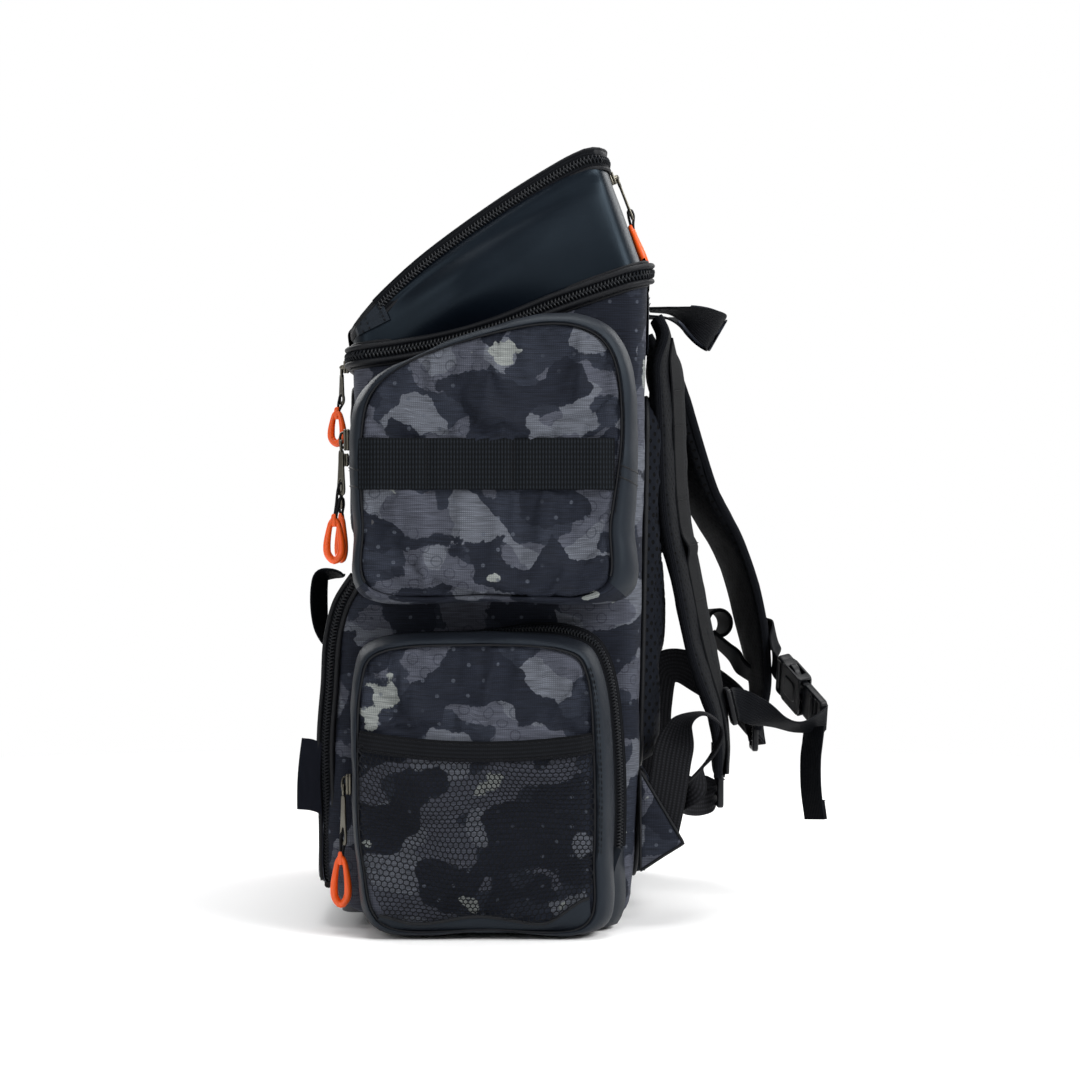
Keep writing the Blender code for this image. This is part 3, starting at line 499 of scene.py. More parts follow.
class Shade:
    """A material's node tree, with short calls that add a node and give back its output."""

    def __init__(self, name, roughness, metallic=0.0, **fixed):
        made = bpy.data.materials.new(name)
        made.use_nodes = True
        self.tree = made.node_tree
        self.shader = self.tree.nodes["Principled BSDF"]
        self.shader.inputs["Metallic"].default_value = metallic
        for socket, value in fixed.items():
            self.shader.inputs[socket.replace("_", " ")].default_value = value
        self.put(self.shader.inputs["Roughness"], roughness)
        MATERIALS[name] = made

    def put(self, socket, value):
        if isinstance(value, bpy.types.NodeSocket):
            self.tree.links.new(value, socket)
        elif socket.type == "RGBA":
            socket.default_value = (*value, 1.0)
        else:
            socket.default_value = value

    def node(self, kind, inputs=(), output=0, **settings):
        made = self.tree.nodes.new(kind)
        for key, value in settings.items():
            setattr(made, key, value)
        for socket, value in dict(inputs).items():
            self.put(made.inputs[socket], value)
        return made.outputs[output]

    def attribute(self, name):
        return self.node("ShaderNodeAttribute", output="Vector", attribute_name=name)

    def math(self, what, a, b=0.0, clamp=False):
        return self.node("ShaderNodeMath", {0: a, 1: b}, operation=what, use_clamp=clamp)

    def plus(self, a, b):
        return self.math("ADD", a, b)

    def minus(self, a, b):
        return self.math("SUBTRACT", a, b)

    def times(self, a, b):
        return self.math("MULTIPLY", a, b)

    def vector(self, what, a, b=(0, 0, 0)):
        return self.node("ShaderNodeVectorMath", {0: a, 1: b}, operation=what)

    def stretch(self, vector, scale, shift=(0, 0, 0), turn=0.0):
        inputs = {"Vector": vector, "Scale": scale, "Location": shift, "Rotation": (0, 0, turn)}
        return self.node("ShaderNodeMapping", inputs)

    def noise(self, vector, scale, detail=2.0, rough=0.5, output="Factor"):
        inputs = {"Vector": vector, "Scale": scale, "Detail": detail, "Roughness": rough}
        output = 0 if output == "Factor" else 1
        return self.node("ShaderNodeTexNoise", inputs, output)

    def step(self, value, low, high):
        """0 below low, 1 above high, smooth between them."""
        inputs = {"Value": value, "From Min": low, "From Max": high}
        return self.node("ShaderNodeMapRange", inputs, interpolation_type="SMOOTHSTEP")

    def mix(self, factor, a, b, blend="MIX"):
        made = self.tree.nodes.new("ShaderNodeMix")
        made.data_type, made.blend_type = "RGBA", blend
        self.put(made.inputs[0], factor)
        self.put(made.inputs[6], a)
        self.put(made.inputs[7], b)
        return made.outputs[2]

    def tinted(self, colour, tone):
        """The colour, made darker or lighter by a tone."""
        grey = self.node("ShaderNodeCombineColor", {0: tone, 1: tone, 2: tone})
        return self.mix(1.0, colour, grey, "MULTIPLY")

    def wave(self, vector, scale, direction="X"):
        inputs = {"Vector": vector, "Scale": scale}
        return self.node("ShaderNodeTexWave", inputs, 1, bands_direction=direction)

    def cells(self, vector, scale, turn=0.7854):
        """Distance to the nearest point of a regular lattice, in units of its spacing."""
        turned = self.stretch(vector, (scale, scale, 0), turn=turn)
        inputs = {"Vector": turned, "Scale": 1.0, "Randomness": 0.0}
        return self.node("ShaderNodeTexVoronoi", inputs, voronoi_dimensions="2D")

    def finish(self, colour, height=None, strength=0.5, distance=0.0005):
        self.put(self.shader.inputs["Base Color"], colour)
        if height is not None:
            inputs = {"Height": height, "Strength": strength, "Distance": distance}
            self.put(self.shader.inputs["Normal"], self.node("ShaderNodeBump", inputs))


def weave(shade, flat, pitch):
    """Height of a plain weave whose rows lie a pitch apart."""
    rows = shade.wave(flat, WAVE / pitch, "Y")
    ends = shade.wave(flat, WAVE / pitch, "X")
    return shade.times(rows, ends)


def camo_material(name, tint=1.0):
    """Printed ripstop: ragged dark and grey zones, rings on the grey, small dots on the dark."""
    shade = Shade(name, 0.78, Specular_IOR_Level=0.14)
    rest, flat = shade.attribute("rest"), shade.attribute("flat")
    jitter = shade.noise(rest, 125.0, 3.0, 0.6, "Color")
    jitter = shade.vector("SUBTRACT", jitter, (0.5, 0.5, 0.5))
    jitter = shade.node("ShaderNodeVectorMath", {0: jitter, "Scale": 0.0075}, operation="SCALE")
    ragged = shade.vector("ADD", rest, jitter)

    def zone(shift, scale, low, detail=1.0, stretch=(1.0, 1.0, 1.3)):
        placed = shade.stretch(ragged, stretch, shift)
        return shade.step(shade.noise(placed, scale, detail, 0.45), low, low + 0.006)

    grey = zone((0.31, 0.0, 0.0), 20.0, 0.50)
    dark = zone((0.0, 0.77, 0.0), 23.0, 0.525)
    pale = zone((0.9, 0.2, 0.5), 25.0, 0.555)
    light = zone((0.15, 0.4, 1.3), 31.0, 0.690, 1.8)

    def paint(red, green, blue):
        return (red * tint * 0.78, green * tint * 0.90, blue * tint * 1.02)

    colour = shade.mix(grey, paint(0.019, 0.020, 0.027), paint(0.064, 0.060, 0.069))
    colour = shade.mix(pale, colour, paint(0.104, 0.098, 0.104))
    colour = shade.mix(dark, colour, paint(0.0105, 0.0115, 0.0170))
    colour = shade.mix(light, colour, paint(0.215, 0.200, 0.172))

    ring_cell = shade.cells(flat, 1 / 0.0108)
    ring = shade.minus(ring_cell, 0.28)
    ring = shade.minus(1.0, shade.step(shade.math("ABSOLUTE", ring), 0.022, 0.052))
    patch = shade.step(shade.noise(shade.stretch(rest, (1, 1, 1), (2, 0, 0)), 14.0, 1.0), 0.47, 0.50)
    on_grey = shade.times(grey, shade.minus(1.0, dark))
    ring = shade.times(ring, shade.times(on_grey, patch))
    colour = shade.mix(shade.times(ring, 0.50), colour, paint(0.018, 0.018, 0.025))
    dot_cell = shade.cells(shade.stretch(flat, (1, 1, 1), (0.004, 0.003, 0)), 1 / 0.0125)
    dot = shade.minus(1.0, shade.step(dot_cell, 0.075, 0.105))
    off_grey = shade.minus(1.0, on_grey)
    some = shade.step(shade.noise(shade.stretch(rest, (1, 1, 1), (0, 3, 1)), 26.0, 1.0), 0.46, 0.56)
    off_grey = shade.times(off_grey, some)
    shown = shade.times(shade.times(dot, off_grey), 0.75)
    colour = shade.mix(shown, colour, paint(0.075, 0.074, 0.084))

    slub = shade.noise(shade.stretch(flat, (75.0, 1150.0, 1.0)), 1.0, 1.0)
    yarn = weave(shade, flat, 0.0011)
    shading = shade.plus(shade.times(slub, 1.40), 0.20)
    shading = shade.times(shading, shade.plus(0.80, shade.times(yarn, 0.55)))
    colour = shade.tinted(colour, shading)
    height = shade.plus(shade.times(yarn, 0.6), slub)
    shade.finish(colour, height, 0.55, 0.0004)


def coated_material(name, colour, roughness, grain=0.25, **fixed):
    """Coated cloth: a fine grain, faint cloudy colour and slightly uneven gloss."""
    shade = Shade(name, roughness, **fixed)
    rest, flat = shade.attribute("rest"), shade.attribute("flat")
    cloud = shade.noise(rest, 38.0, 3.0)
    fine = shade.noise(rest, 1500.0, 2.0)
    yarn = weave(shade, flat, 0.0005)
    tone = shade.plus(0.78, shade.times(cloud, 0.30))
    tone = shade.plus(tone, shade.times(fine, 0.14))
    gloss = shade.plus(roughness - 0.06, shade.times(cloud, 0.12))
    shade.put(shade.shader.inputs["Roughness"], gloss)
    height = shade.plus(shade.times(fine, 0.6), shade.times(yarn, 0.4))
    shade.finish(shade.tinted(colour, tone), height, grain, 0.0003)


def webbing_material(name, colour, rib, pick, roughness=0.72, lengthwise=True, depth=0.0):
    """Woven tape: ribs a rib apart across it and picks along it."""
    shade = Shade(name, roughness, Specular_IOR_Level=0.08)
    flat = shade.attribute("flat")
    ribs = shade.wave(flat, WAVE / rib, "X")
    picks = shade.wave(flat, WAVE / pick, "Y")
    fluff = shade.noise(flat, 2600.0, 2.0)
    if not lengthwise:
        ribs, picks = picks, ribs
    grid = shade.times(ribs, shade.plus(0.35, shade.times(picks, 0.65)))
    tone = shade.plus(0.45 - 0.35 * depth, shade.times(grid, 1.15 + 1.2 * depth))
    tone = shade.plus(tone, shade.times(fluff, 0.25))
    shade.finish(shade.tinted(colour, tone), grid, 0.8, 0.0004)


def spacer_mesh_material(name, colour, spacing, hole):
    """Knitted spacer mesh: rows of small open holes over a fine knit."""
    shade = Shade(name, 0.88, Specular_IOR_Level=0.12)
    flat = shade.attribute("flat")
    cell = shade.cells(flat, 1 / spacing)
    solid = shade.step(cell, hole, hole + 0.10)
    knit = shade.noise(shade.stretch(flat, (900.0, 420.0, 1.0)), 1.0, 2.0)
    tone = shade.times(solid, shade.plus(0.65, shade.times(knit, 0.7)))
    tone = shade.plus(tone, 0.06)
    height = shade.plus(solid, shade.times(knit, 0.35))
    shade.finish(shade.tinted(colour, tone), height, 0.85, 0.0008)


def plain_material(name, colour, roughness, scale, depth, uneven=0.25, metallic=0.0, **fixed):
    """Moulded, cast or drawn stuff: slightly uneven colour and gloss over a fine grain."""
    shade = Shade(name, roughness, metallic, **fixed)
    rest = shade.attribute("rest")
    fine = shade.noise(rest, scale, 3.0, 0.6)
    worn = shade.noise(rest, scale / 9, 2.0)
    tone = shade.plus(1.0 - uneven, shade.times(worn, 2 * uneven))
    gloss = shade.plus(roughness - 0.08, shade.times(fine, 0.16))
    shade.put(shade.shader.inputs["Roughness"], gloss)
    shade.finish(shade.tinted(colour, tone), fine, depth, 0.0003)


def board_material():
    """The stiffening boards' plastic, which keeps the CAD's own meshes and so has no attributes."""
    shade = Shade("board", 0.6)
    place = shade.node("ShaderNodeTexCoord", output="Object")
    grain = shade.noise(place, 900.0, 3.0)
    cloud = shade.noise(place, 25.0, 2.0)
    tone = shade.plus(0.7, shade.times(cloud, 0.6))
    shade.finish(shade.tinted((0.045, 0.045, 0.050), tone), grain, 0.3, 0.0004)


def make_materials():
    """Every material. Colours are linear, as the shader takes them."""
    camo_material("camo_ripstop", 1.12)
    # The Specular_Tint given to coated_fabric and trim_fabric is a painted cool tint on their highlights
    # and reflections. It stands in for a cool-coloured light.
    coated_material(
        "coated_fabric", (0.0010, 0.0020, 0.0042), 0.40, 0.20,
        Specular_IOR_Level=0.23, Specular_Tint=(0.62, 0.82, 1.0, 1.0),
    )
    coated_material(
        "trim_fabric", (0.0078, 0.0096, 0.0138), 0.52, 0.25,
        Specular_IOR_Level=0.20, Specular_Tint=(0.75, 0.90, 1.0, 1.0),
    )
    coated_material("lining", (0.045, 0.046, 0.051), 0.62, 0.35, Specular_IOR_Level=0.2)
    webbing_material("black_webbing", (0.0026, 0.0032, 0.0046), 0.0016, 0.0009)
    webbing_material("strap_tape", (0.0018, 0.0023, 0.0033), 0.0016, 0.0009)
    webbing_material("molle_tape", (0.0044, 0.0056, 0.0074), 0.0030, 0.0019, lengthwise=False, depth=1.0)
    webbing_material("elastic", (0.0040, 0.0046, 0.0060), 0.0024, 0.0012)
    webbing_material("zip_tape", (0.0028, 0.0034, 0.0048), 0.0016, 0.0008)
    webbing_material("strap_knit", (0.0032, 0.0038, 0.0056), 0.0011, 0.0011, 0.85)
    spacer_mesh_material("air_mesh", (0.0036, 0.0048, 0.0080), 0.0060, 0.17)
    spacer_mesh_material("strap_mesh", (0.0022, 0.0028, 0.0042), 0.0044, 0.15)
    plain_material("mesh_yarn", (0.0034, 0.0042, 0.0060), 0.70, 2500.0, 0.3, Specular_IOR_Level=0.15)
    plain_material("zip_coil", (0.0044, 0.0056, 0.0078), 0.48, 1200.0, 0.15, Specular_IOR_Level=0.20)
    plain_material("binding", (0.0030, 0.0037, 0.0054), 0.58, 1900.0, 0.45, Specular_IOR_Level=0.22)
    plain_material("thread", (0.0035, 0.0037, 0.0048), 0.65, 3000.0, 0.3, Specular_IOR_Level=0.15)
    plain_material("buckle_plastic", (0.0034, 0.0040, 0.0054), 0.40, 1800.0, 0.25, Specular_IOR_Level=0.24)
    plain_material("antique_metal", (0.115, 0.108, 0.088), 0.34, 700.0, 0.2, 0.40, metallic=1.0)
    plain_material("orange_rubber", (0.800, 0.090, 0.004), 0.42, 900.0, 0.12, 0.08)
    plain_material("cord", (0.0050, 0.0050, 0.0060), 0.70, 3000.0, 0.5, Specular_IOR_Level=0.15)
    webbing_material("label_cloth", (0.0075, 0.0090, 0.0150), 0.0007, 0.0006, 0.6)
    webbing_material("herringbone", (0.0075, 0.0078, 0.0094), 0.0026, 0.0016)
    board_material()


# --- lines of the bag -----------------------------------------------------------------------------
RIM_CURVE = catmull(RIM_LINE)
TOP_CURVE = catmull(TOP_LINE)
FRONT_CURVE = catmull((*FRONT_LINE, *FRONT_ABOVE))
REAR_CURVE = catmull(REAR_LINE)
LID_DROP = 0.0066  # height of the lid's side, down to its zip
BOX_REAR = 0.0705  # depth of the top box's rear edge, under the lid


def rim_height(y):
    return np.interp(y, RIM_CURVE[:, 0], RIM_CURVE[:, 1])


def lid_height(y):
    return np.interp(y, TOP_CURVE[:, 0], TOP_CURVE[:, 1])


def front_face(z):
    return np.interp(z, FRONT_CURVE[:, 1], FRONT_CURVE[:, 0])


def rear_face(z):
    return np.interp(z, REAR_CURVE[:, 1], REAR_CURVE[:, 0])


def side_of_body(y, z):
    """How far out the body's skin lies at a depth and a height, round its upright corners."""
    share = np.abs(y) / np.abs(np.where(y < 0, front_face(z), rear_face(z)))
    fall = np.clip((1 - share) * REACH / CORNER[1], 0, 1)
    return HALF_WIDTH - CORNER[0] * (1 - np.sqrt(1 - (1 - fall) ** 2))


def hoop():
    """Upright columns round the body from the rear's middle, by -X and the front: x, y share."""
    turns = np.radians((0, 8.63, 20, 34, 48, 62, 76, 90))
    corner = [
        (HALF_WIDTH - CORNER[0] * (1 - math.sin(t)), 1 - CORNER[1] * (1 - math.cos(t)) / REACH)
        for t in turns
    ]
    face = [(x, 1.0) for x in np.linspace(0, corner[0][0], 24)[:-1]]
    side = [(HALF_WIDTH, b) for b in np.linspace(corner[-1][1], -corner[-1][1], 46)[1:-1]]
    ahead = [(x, -b) for x, b in reversed(corner)] + [(x, -b) for x, b in reversed(face)]
    half = np.array(face + corner + side + ahead)
    left = half * (-1, 1)
    return np.vstack([left, half[-2:0:-1]])


HOOP = hoop()


def around(front, rear):
    """The depth of each hoop column, for a front and a rear depth."""
    share = HOOP[:, 1]
    return np.where(share < 0, -share * front, share * rear)


def smoothstep(value, low, high):
    t = np.clip((value - low) / (high - low), 0, 1)
    return t * t * (3 - 2 * t)


def bump(value, middle, width):
    """A bell curve, 1 at its middle."""
    return np.exp(-(((value - middle) / width) ** 2))


def ring_strip(first, second):
    """Faces between two closed lines of points."""
    return lattice(np.stack([first, second]), wrap_columns=True)


def underside(ring):
    """One face that closes a level ring of points from below."""
    return ring, [tuple(range(len(ring)))[::-1]], ring[:, :2]


# --- zips and seams -------------------------------------------------------------------------------
def tooth(size=1.0):
    """One side of a coil zip's loop, from the middle of the zip outwards."""
    route = [
        (-0.0007, 0.0006, -0.0003), (-0.0002, 0.0011, -0.0001), (0.0008, 0.0013, 0.0003),
        (0.0018, 0.0010, 0.0007), (0.0026, 0.0001, 0.0009),
    ]
    return tube(np.array(route) * size, 0.00056 * size, sides=6, scale=(0.8, 1, 1, 1, 0.8))


def coil_halves(path, out, pitch=0.0023, size=1.0):
    """The two interleaved halves of a coil zip and their tapes, as lists of parts."""
    count = max(int(lengths(path)[-1] / pitch), 4) * 2
    place, up = evenly(path, out, count)
    half = size * np.stack([np.linspace(0.0002, 0.0062, 5), np.zeros(5)], axis=1)
    halves = []
    for mirror, first in ((1.0, 0), (-1.0, 1)):
        teeth = at_path(tooth(size), place, up, slice(first, None, 2), mirror)
        lower = half * (mirror, 1)
        strip = np.vstack([lower, lower[::-1] - (0, 0.0008 * size)])
        tape = sweep(place[::3], up[::3], strip if mirror < 0 else strip[::-1])
        halves.append((teeth, tape))
    return halves


def make_zip(name, path, out, first_body, second_body, pitch=0.0023, size=1.0):
    """A coil zip's teeth and tapes; the first body's half lies across the path to its right."""
    halves = coil_halves(path, out, pitch, size)
    for half, body, word in zip(halves, (first_body, second_body), ("a", "b")):
        add(f"{name}_coil_{word}", half[0], "zip_coil", body)
        add(f"{name}_tape_{word}", half[1], "zip_tape", body)


def stitches(path, out, step=0.0036, length=0.0026, radius=0.00024, lift=0.00012):
    """A row of stitches lying on a surface."""
    count = max(int(lengths(path)[-1] / step), 2)
    half, sunk = length / 2, lift - radius
    route = [(0, sunk, -half), (0, lift, -half / 2), (0, lift, half / 2), (0, sunk, half)]
    stitch = tube(route, radius, out=BACKWARD, sides=6, scale=(0.5, 1, 1, 0.5))
    return at_path(stitch, *evenly(path, out, count))


def piping(path, out, radius, squash=1.0, sides=10, loop=False):
    """A cord sewn in along an edge."""
    return sweep(path, out, circle(radius, sides, squash), loop)


def ring_piping(line):
    """Thin piping round the top box, through every other point of a closed line."""
    path = line[::2]
    return piping(path, unit(path * (1, 1, 0)), 0.0010, 0.8, loop=True)


# --- body -----------------------------------------------------------------------------------------
def body_grid():
    """The outer skin's grid: rows from the base upwards, columns of the hoop."""
    low = 0.012 + 0.012 * HOOP[:, 1] ** 4
    high = rim_height(around(RIM_FRONT, BODY_RIM_REAR)) - 0.0004
    front_foot = 0.024
    front_tall = rim_height(RIM_FRONT) - 0.0004 - front_foot
    first, second = ((z - front_foot) / front_tall for z in WINDOW[1:])
    over, above = np.linspace(first, second, 50)[1:], np.linspace(second, 1, 44)[1:]
    share = np.r_[np.linspace(0, first, 3), over, above]
    z = low + share[:, None] * (high - low)
    wall = together(HOOP[:, 0], around(front_face(z), rear_face(z)), z)
    base = together(HOOP[:, 0] * 0.915, around(-0.062, 0.076), 0.0042)
    turns = np.radians(np.linspace(90, 15, 6))
    mix = together(1 - np.cos(turns), 1 - np.cos(turns), np.sin(turns))[:, None]
    under = wall[0] + (base - wall[0]) * mix
    return np.concatenate([under, wall]), len(under), share, (first, second)


def make_body():
    """The body's camo skin, with the tray opening, its lining and the coated base."""
    spots, under, share, (first, second) = body_grid()
    normals = grid_normals(spots, True)
    calm = np.minimum(1, np.arange(len(spots))[::-1] / 6)[:, None]
    spots = ruffle(spots, normals, 0.0011 * calm, 24.0, 3.0)
    spots = ruffle(spots, normals, 0.0005 * calm, 70.0, 9.0)
    rows, columns = spots.shape[:2]
    at_front = (HOOP[:, 1] < -0.98) & (np.abs(HOOP[:, 0]) < WINDOW[0] + 0.0005)
    inside = at_front & np.roll(at_front, -1)
    row_share = np.r_[np.full(under, -1.0), share]
    open_rows = (row_share[:-1] >= first - 1e-6) & (row_share[1:] <= second + 1e-6)
    keep = ~(open_rows[:, None] & inside[None, :])
    flat = together(perimeter(spots[rows // 2]), spots[..., 2])
    skin = lattice(spots, True, flat=flat, keep=keep)
    add("body_skin", skin, "camo_ripstop", "bag", ["main_shell"])

    wall = spots[under:]
    lining = wall - grid_normals(wall, True) * 0.0036
    floor = lining[0] * (0.985, 0.98, 0) + (0, 0, 0.0090)
    turned_keep = keep[under:, np.r_[columns - 2 : -1 : -1, -1]]
    parts = [
        lattice(lining[:, ::-1], True, keep=turned_keep),
        ring_strip(wall[-1], lining[-1]),
        ring_strip(lining[0], floor),
        underside(floor),
    ]
    window_rows = np.nonzero(np.isclose(share, first) | np.isclose(share, second))[0]
    window_columns = np.nonzero(at_front)[0]
    for row, order in zip(window_rows, (1, -1)):
        strip = np.stack([wall[row, window_columns], lining[row, window_columns]])
        parts.append(lattice(strip[::order]))
    beside = slice(window_rows[0], window_rows[1] + 1)
    for column, order in ((window_columns[0], -1), (window_columns[-1], 1)):
        strip = np.stack([wall[beside, column], lining[beside, column]])
        parts.append(lattice(strip[::order]))
    add("body_lining", parts, "lining", "bag")

    base = spots[0]
    centre = base.mean(axis=0)
    rings = [
        centre + (base - centre) * size * (1, 1, 0) + (0, 0, z - centre[2])
        for size, z in ((1.035, 0.0052), (1.030, 0.0028), (1.005, 0.0008), (0.97, 0.0))
    ]
    panel = [lattice(np.array(rings[::-1]), True), underside(rings[-1])]
    add("base_skin", panel, "trim_fabric", "bag", ["base_panel"])


# --- main zip -------------------------------------------------------------------------------------
def make_main_zip():
    """The zip between the body and the top box, and the piping on both sides of it."""
    picks = np.nonzero(HOOP[:, 1] < 0.995)[0]
    y = around(RIM_FRONT, BODY_RIM_REAR)[picks]
    line = np.stack([HOOP[picks, 0], y, rim_height(y)], axis=1)
    ahead = unit(np.gradient(line * (1, 1, 0), axis=0))
    out = np.stack([ahead[:, 1], -ahead[:, 0], np.zeros(len(ahead))], axis=1)
    line, out = evenly(line, out, 150)
    out = unit(out)
    make_zip("main_zip", line + out * 0.0036, out, "bag", "top_box")
    for word, body, sign in (("lower", "bag", -1.0), ("upper", "top_box", 1.0)):
        roll = line + out * 0.0026 + UPWARD * sign * 0.0047
        soft = ruffle(roll, out, 0.0005, 45.0, 5.0 + sign)
        edge = line + out * 0.0006 + UPWARD * sign * 0.0072
        parts = [piping(soft, out, 0.0020, 1.35, sides=12), piping(edge, out, 0.0011, 0.8)]
        add(f"main_piping_{word}", parts, "binding", body, [f"main_zip_{word}"])


# --- top box and lid ------------------------------------------------------------------------------
def box_grid():
    """The top box's upright grid of points, and each row's share of the height."""
    t = np.linspace(0, 1, 30)[:, None]
    low_y, high_y = around(RIM_FRONT, BOX_RIM_REAR), around(RIM_FRONT, BOX_REAR)
    low = np.stack([HOOP[:, 0], low_y, rim_height(low_y) + 0.0006], axis=1)
    high = np.stack([HOOP[:, 0], high_y, lid_height(high_y) - LID_DROP], axis=1)
    return low + (high - low) * t[..., None], t


def swollen_box(spots, t):
    """The box's grid with its sides bulged and creased, and the normals that it had before."""
    normals = grid_normals(spots, True)
    y, z = spots[..., 1], spots[..., 2]
    flank = 1 - smoothstep(np.abs(HOOP[:, 1]), 0.80, 0.98)[None, :]
    tall = smoothstep(z[-1] - z[0], 0.010, 0.05)[None, :]
    belly = np.sin(math.pi * t) * flank * tall
    crease = bump(t, 0.80, 0.055) * smoothstep(y, -0.060, 0.010)
    fold = bump(z, 0.372 + 0.62 * (y + 0.055), 0.006) * smoothstep(y, -0.075, -0.03)
    fold = fold * (1 - smoothstep(y, 0.0, 0.04))
    fullest = smoothstep(y, -0.085, -0.015) * (1 - smoothstep(y, -0.025, 0.095))
    shape = 0.0150 * belly * fullest
    shape = shape - (0.0010 * crease + 0.0012 * fold * np.sin(math.pi * t)) * flank
    shape = shape + 0.0018 * bump(t, 0.90, 0.05) * flank * tall
    spots = spots + normals * shape[..., None]
    calm = np.sin(math.pi * np.clip(t, 0, 1)) ** 0.7
    return ruffle(spots, normals, 0.0012 * calm * tall, 21.0, 14.0), normals


def make_top_box():
    """The box's coated skin, its lining, the deck inside it, its zip and tabs."""
    spots, normals = swollen_box(*box_grid())
    flat = together(perimeter(spots[0]), spots[..., 2])
    add("box_skin", lattice(spots, True, flat=flat), "coated_fabric", "top_box", ["top_box"])

    lining = spots - grid_normals(spots, True) * 0.0034
    fill, _ = square_to_outline(lining[0, ::4, :2], 26)
    deck_height = rim_height(fill[..., 1])
    deck = on_plan(fill, deck_height + 0.0044)
    under = on_plan(fill * 1.01, deck_height + 0.0010)
    parts = [lattice(lining[:, ::-1], True), ring_strip(spots[-1], lining[-1])]
    parts += [lattice(deck), lattice(under[:, ::-1])]
    add("box_lining", parts, "lining", "top_box")
    make_lid_zip(spots, normals)
    make_lid_tabs(spots[:, HOOP[:, 0] > 0.10].reshape(-1, 3))


def make_lid_zip(spots, normals):
    """The zip round the box's upper edge, and the piping along both of the box's edges."""
    picks = np.nonzero(HOOP[:, 1] > -0.80)[0]
    gap = int(np.argmax(np.diff(picks))) + 1
    picks = np.roll(picks, -gap)
    line, out = evenly(spots[-1][picks], unit(normals[-1][picks]), 150)
    line, out = line + (0, 0, 0.0004), unit(out)
    make_zip("lid_zip", line + out * 0.0018, out, "top_box", "top_lid", size=0.92)
    down = unit(np.cross(out, np.gradient(line, axis=0)))
    below = line + down * np.sign(-down[:, 2:3]) * 0.0052
    roll = piping(below + out * 0.0010, out, 0.0013, 0.9)
    rim = ring_piping(spots[0] + (0, 0, 0.0016) + normals[1] * 0.0006)
    add("lid_piping_lower", [roll, rim], "binding", "top_box")


def make_lid_tabs(skin):
    """The stitched tabs that end the lid's zip, low on the front of the box's sides."""
    columns, rows = 16, 10
    corners = np.array(((-0.0842, 0.3690), (-0.0679, 0.3870), (-0.0622, 0.3745), (-0.0828, 0.3645)))
    across, up = np.linspace(0, 1, columns)[:, None], np.linspace(0, 1, rows)[:, None, None]
    top = corners[0] + (corners[1] - corners[0]) * across
    low = corners[3] + (corners[2] - corners[3]) * across
    patch = low + (top - low) * up
    gaps = ((patch[..., None, :] - skin[:, 1:]) ** 2).sum(axis=-1)
    x = skin[gaps.argmin(axis=-1), 0]
    puff = 0.0012 + 0.0009 * np.sin(math.pi * across[:, 0]) ** 0.3
    tab = on_side(np.clip(x, 0.131, 1) + puff, patch)
    seams = [
        stitches(tab[1:-1, column] + (0.0003, 0, 0), ASIDE, 0.0019, 0.0016, 0.00034, 0.0003)
        for column in (3, 6, 13)
    ]
    for side, sign in SIDES:
        add(f"lid_tab_{side}", flip(lattice(tab, flat=patch), sign), "trim_fabric", "top_box")
        add(f"lid_tab_stitches_{side}", flip(seams, sign), "thread", "top_box")


HINGE_TAPES = (  # name, (Y, Z) section, the bodies that it joins, and where it starts and ends to bend
    (
        "box_hinge_tape",
        ((0.0984, 0.3945), (0.0986, 0.4000), (0.0986, 0.4048), (0.0976, 0.4095), (0.0954, 0.4150)),
        ("bag", "top_box", (0, 0.0978, 0.3990), (0, 0.0978, 0.4110)),
    ),
    (
        "lid_hinge_tape",
        ((-0.0886, 0.3570), (-0.0896, 0.3625), (-0.0898, 0.3680), (-0.0868, 0.3722)),
        ("top_box", "top_lid", (0, -0.0870, 0.3625), (0, -0.0870, 0.3715)),
    ),
)


def make_hinge_tapes():
    """The tapes that the top box and the lid bend about, sewn across both sides of each hinge."""
    for name, line, bend in HINGE_TAPES:
        way = spread(catmull(line), 14)[:, None]
        spots = on_side(np.linspace(-0.1215, 0.1215, 60), way)
        normals = grid_normals(spots)
        normals = normals * np.sign(normals[..., 1:2] * spots[..., 1:2])
        spots = ruffle(spots, normals, 0.0004, 45.0, 44.0)
        inner = spots - normals * 0.0012
        flat = spots[..., (0, 2)]
        order = -1 if spots[0, 0, 1] > 0 else 1
        loop = np.concatenate([spots, inner[::-1]])[:, ::order]
        flat = np.concatenate([flat, flat[::-1]])[:, ::order]
        add(name, lattice(loop, wrap_rows=True, flat=flat), "zip_tape", bend)


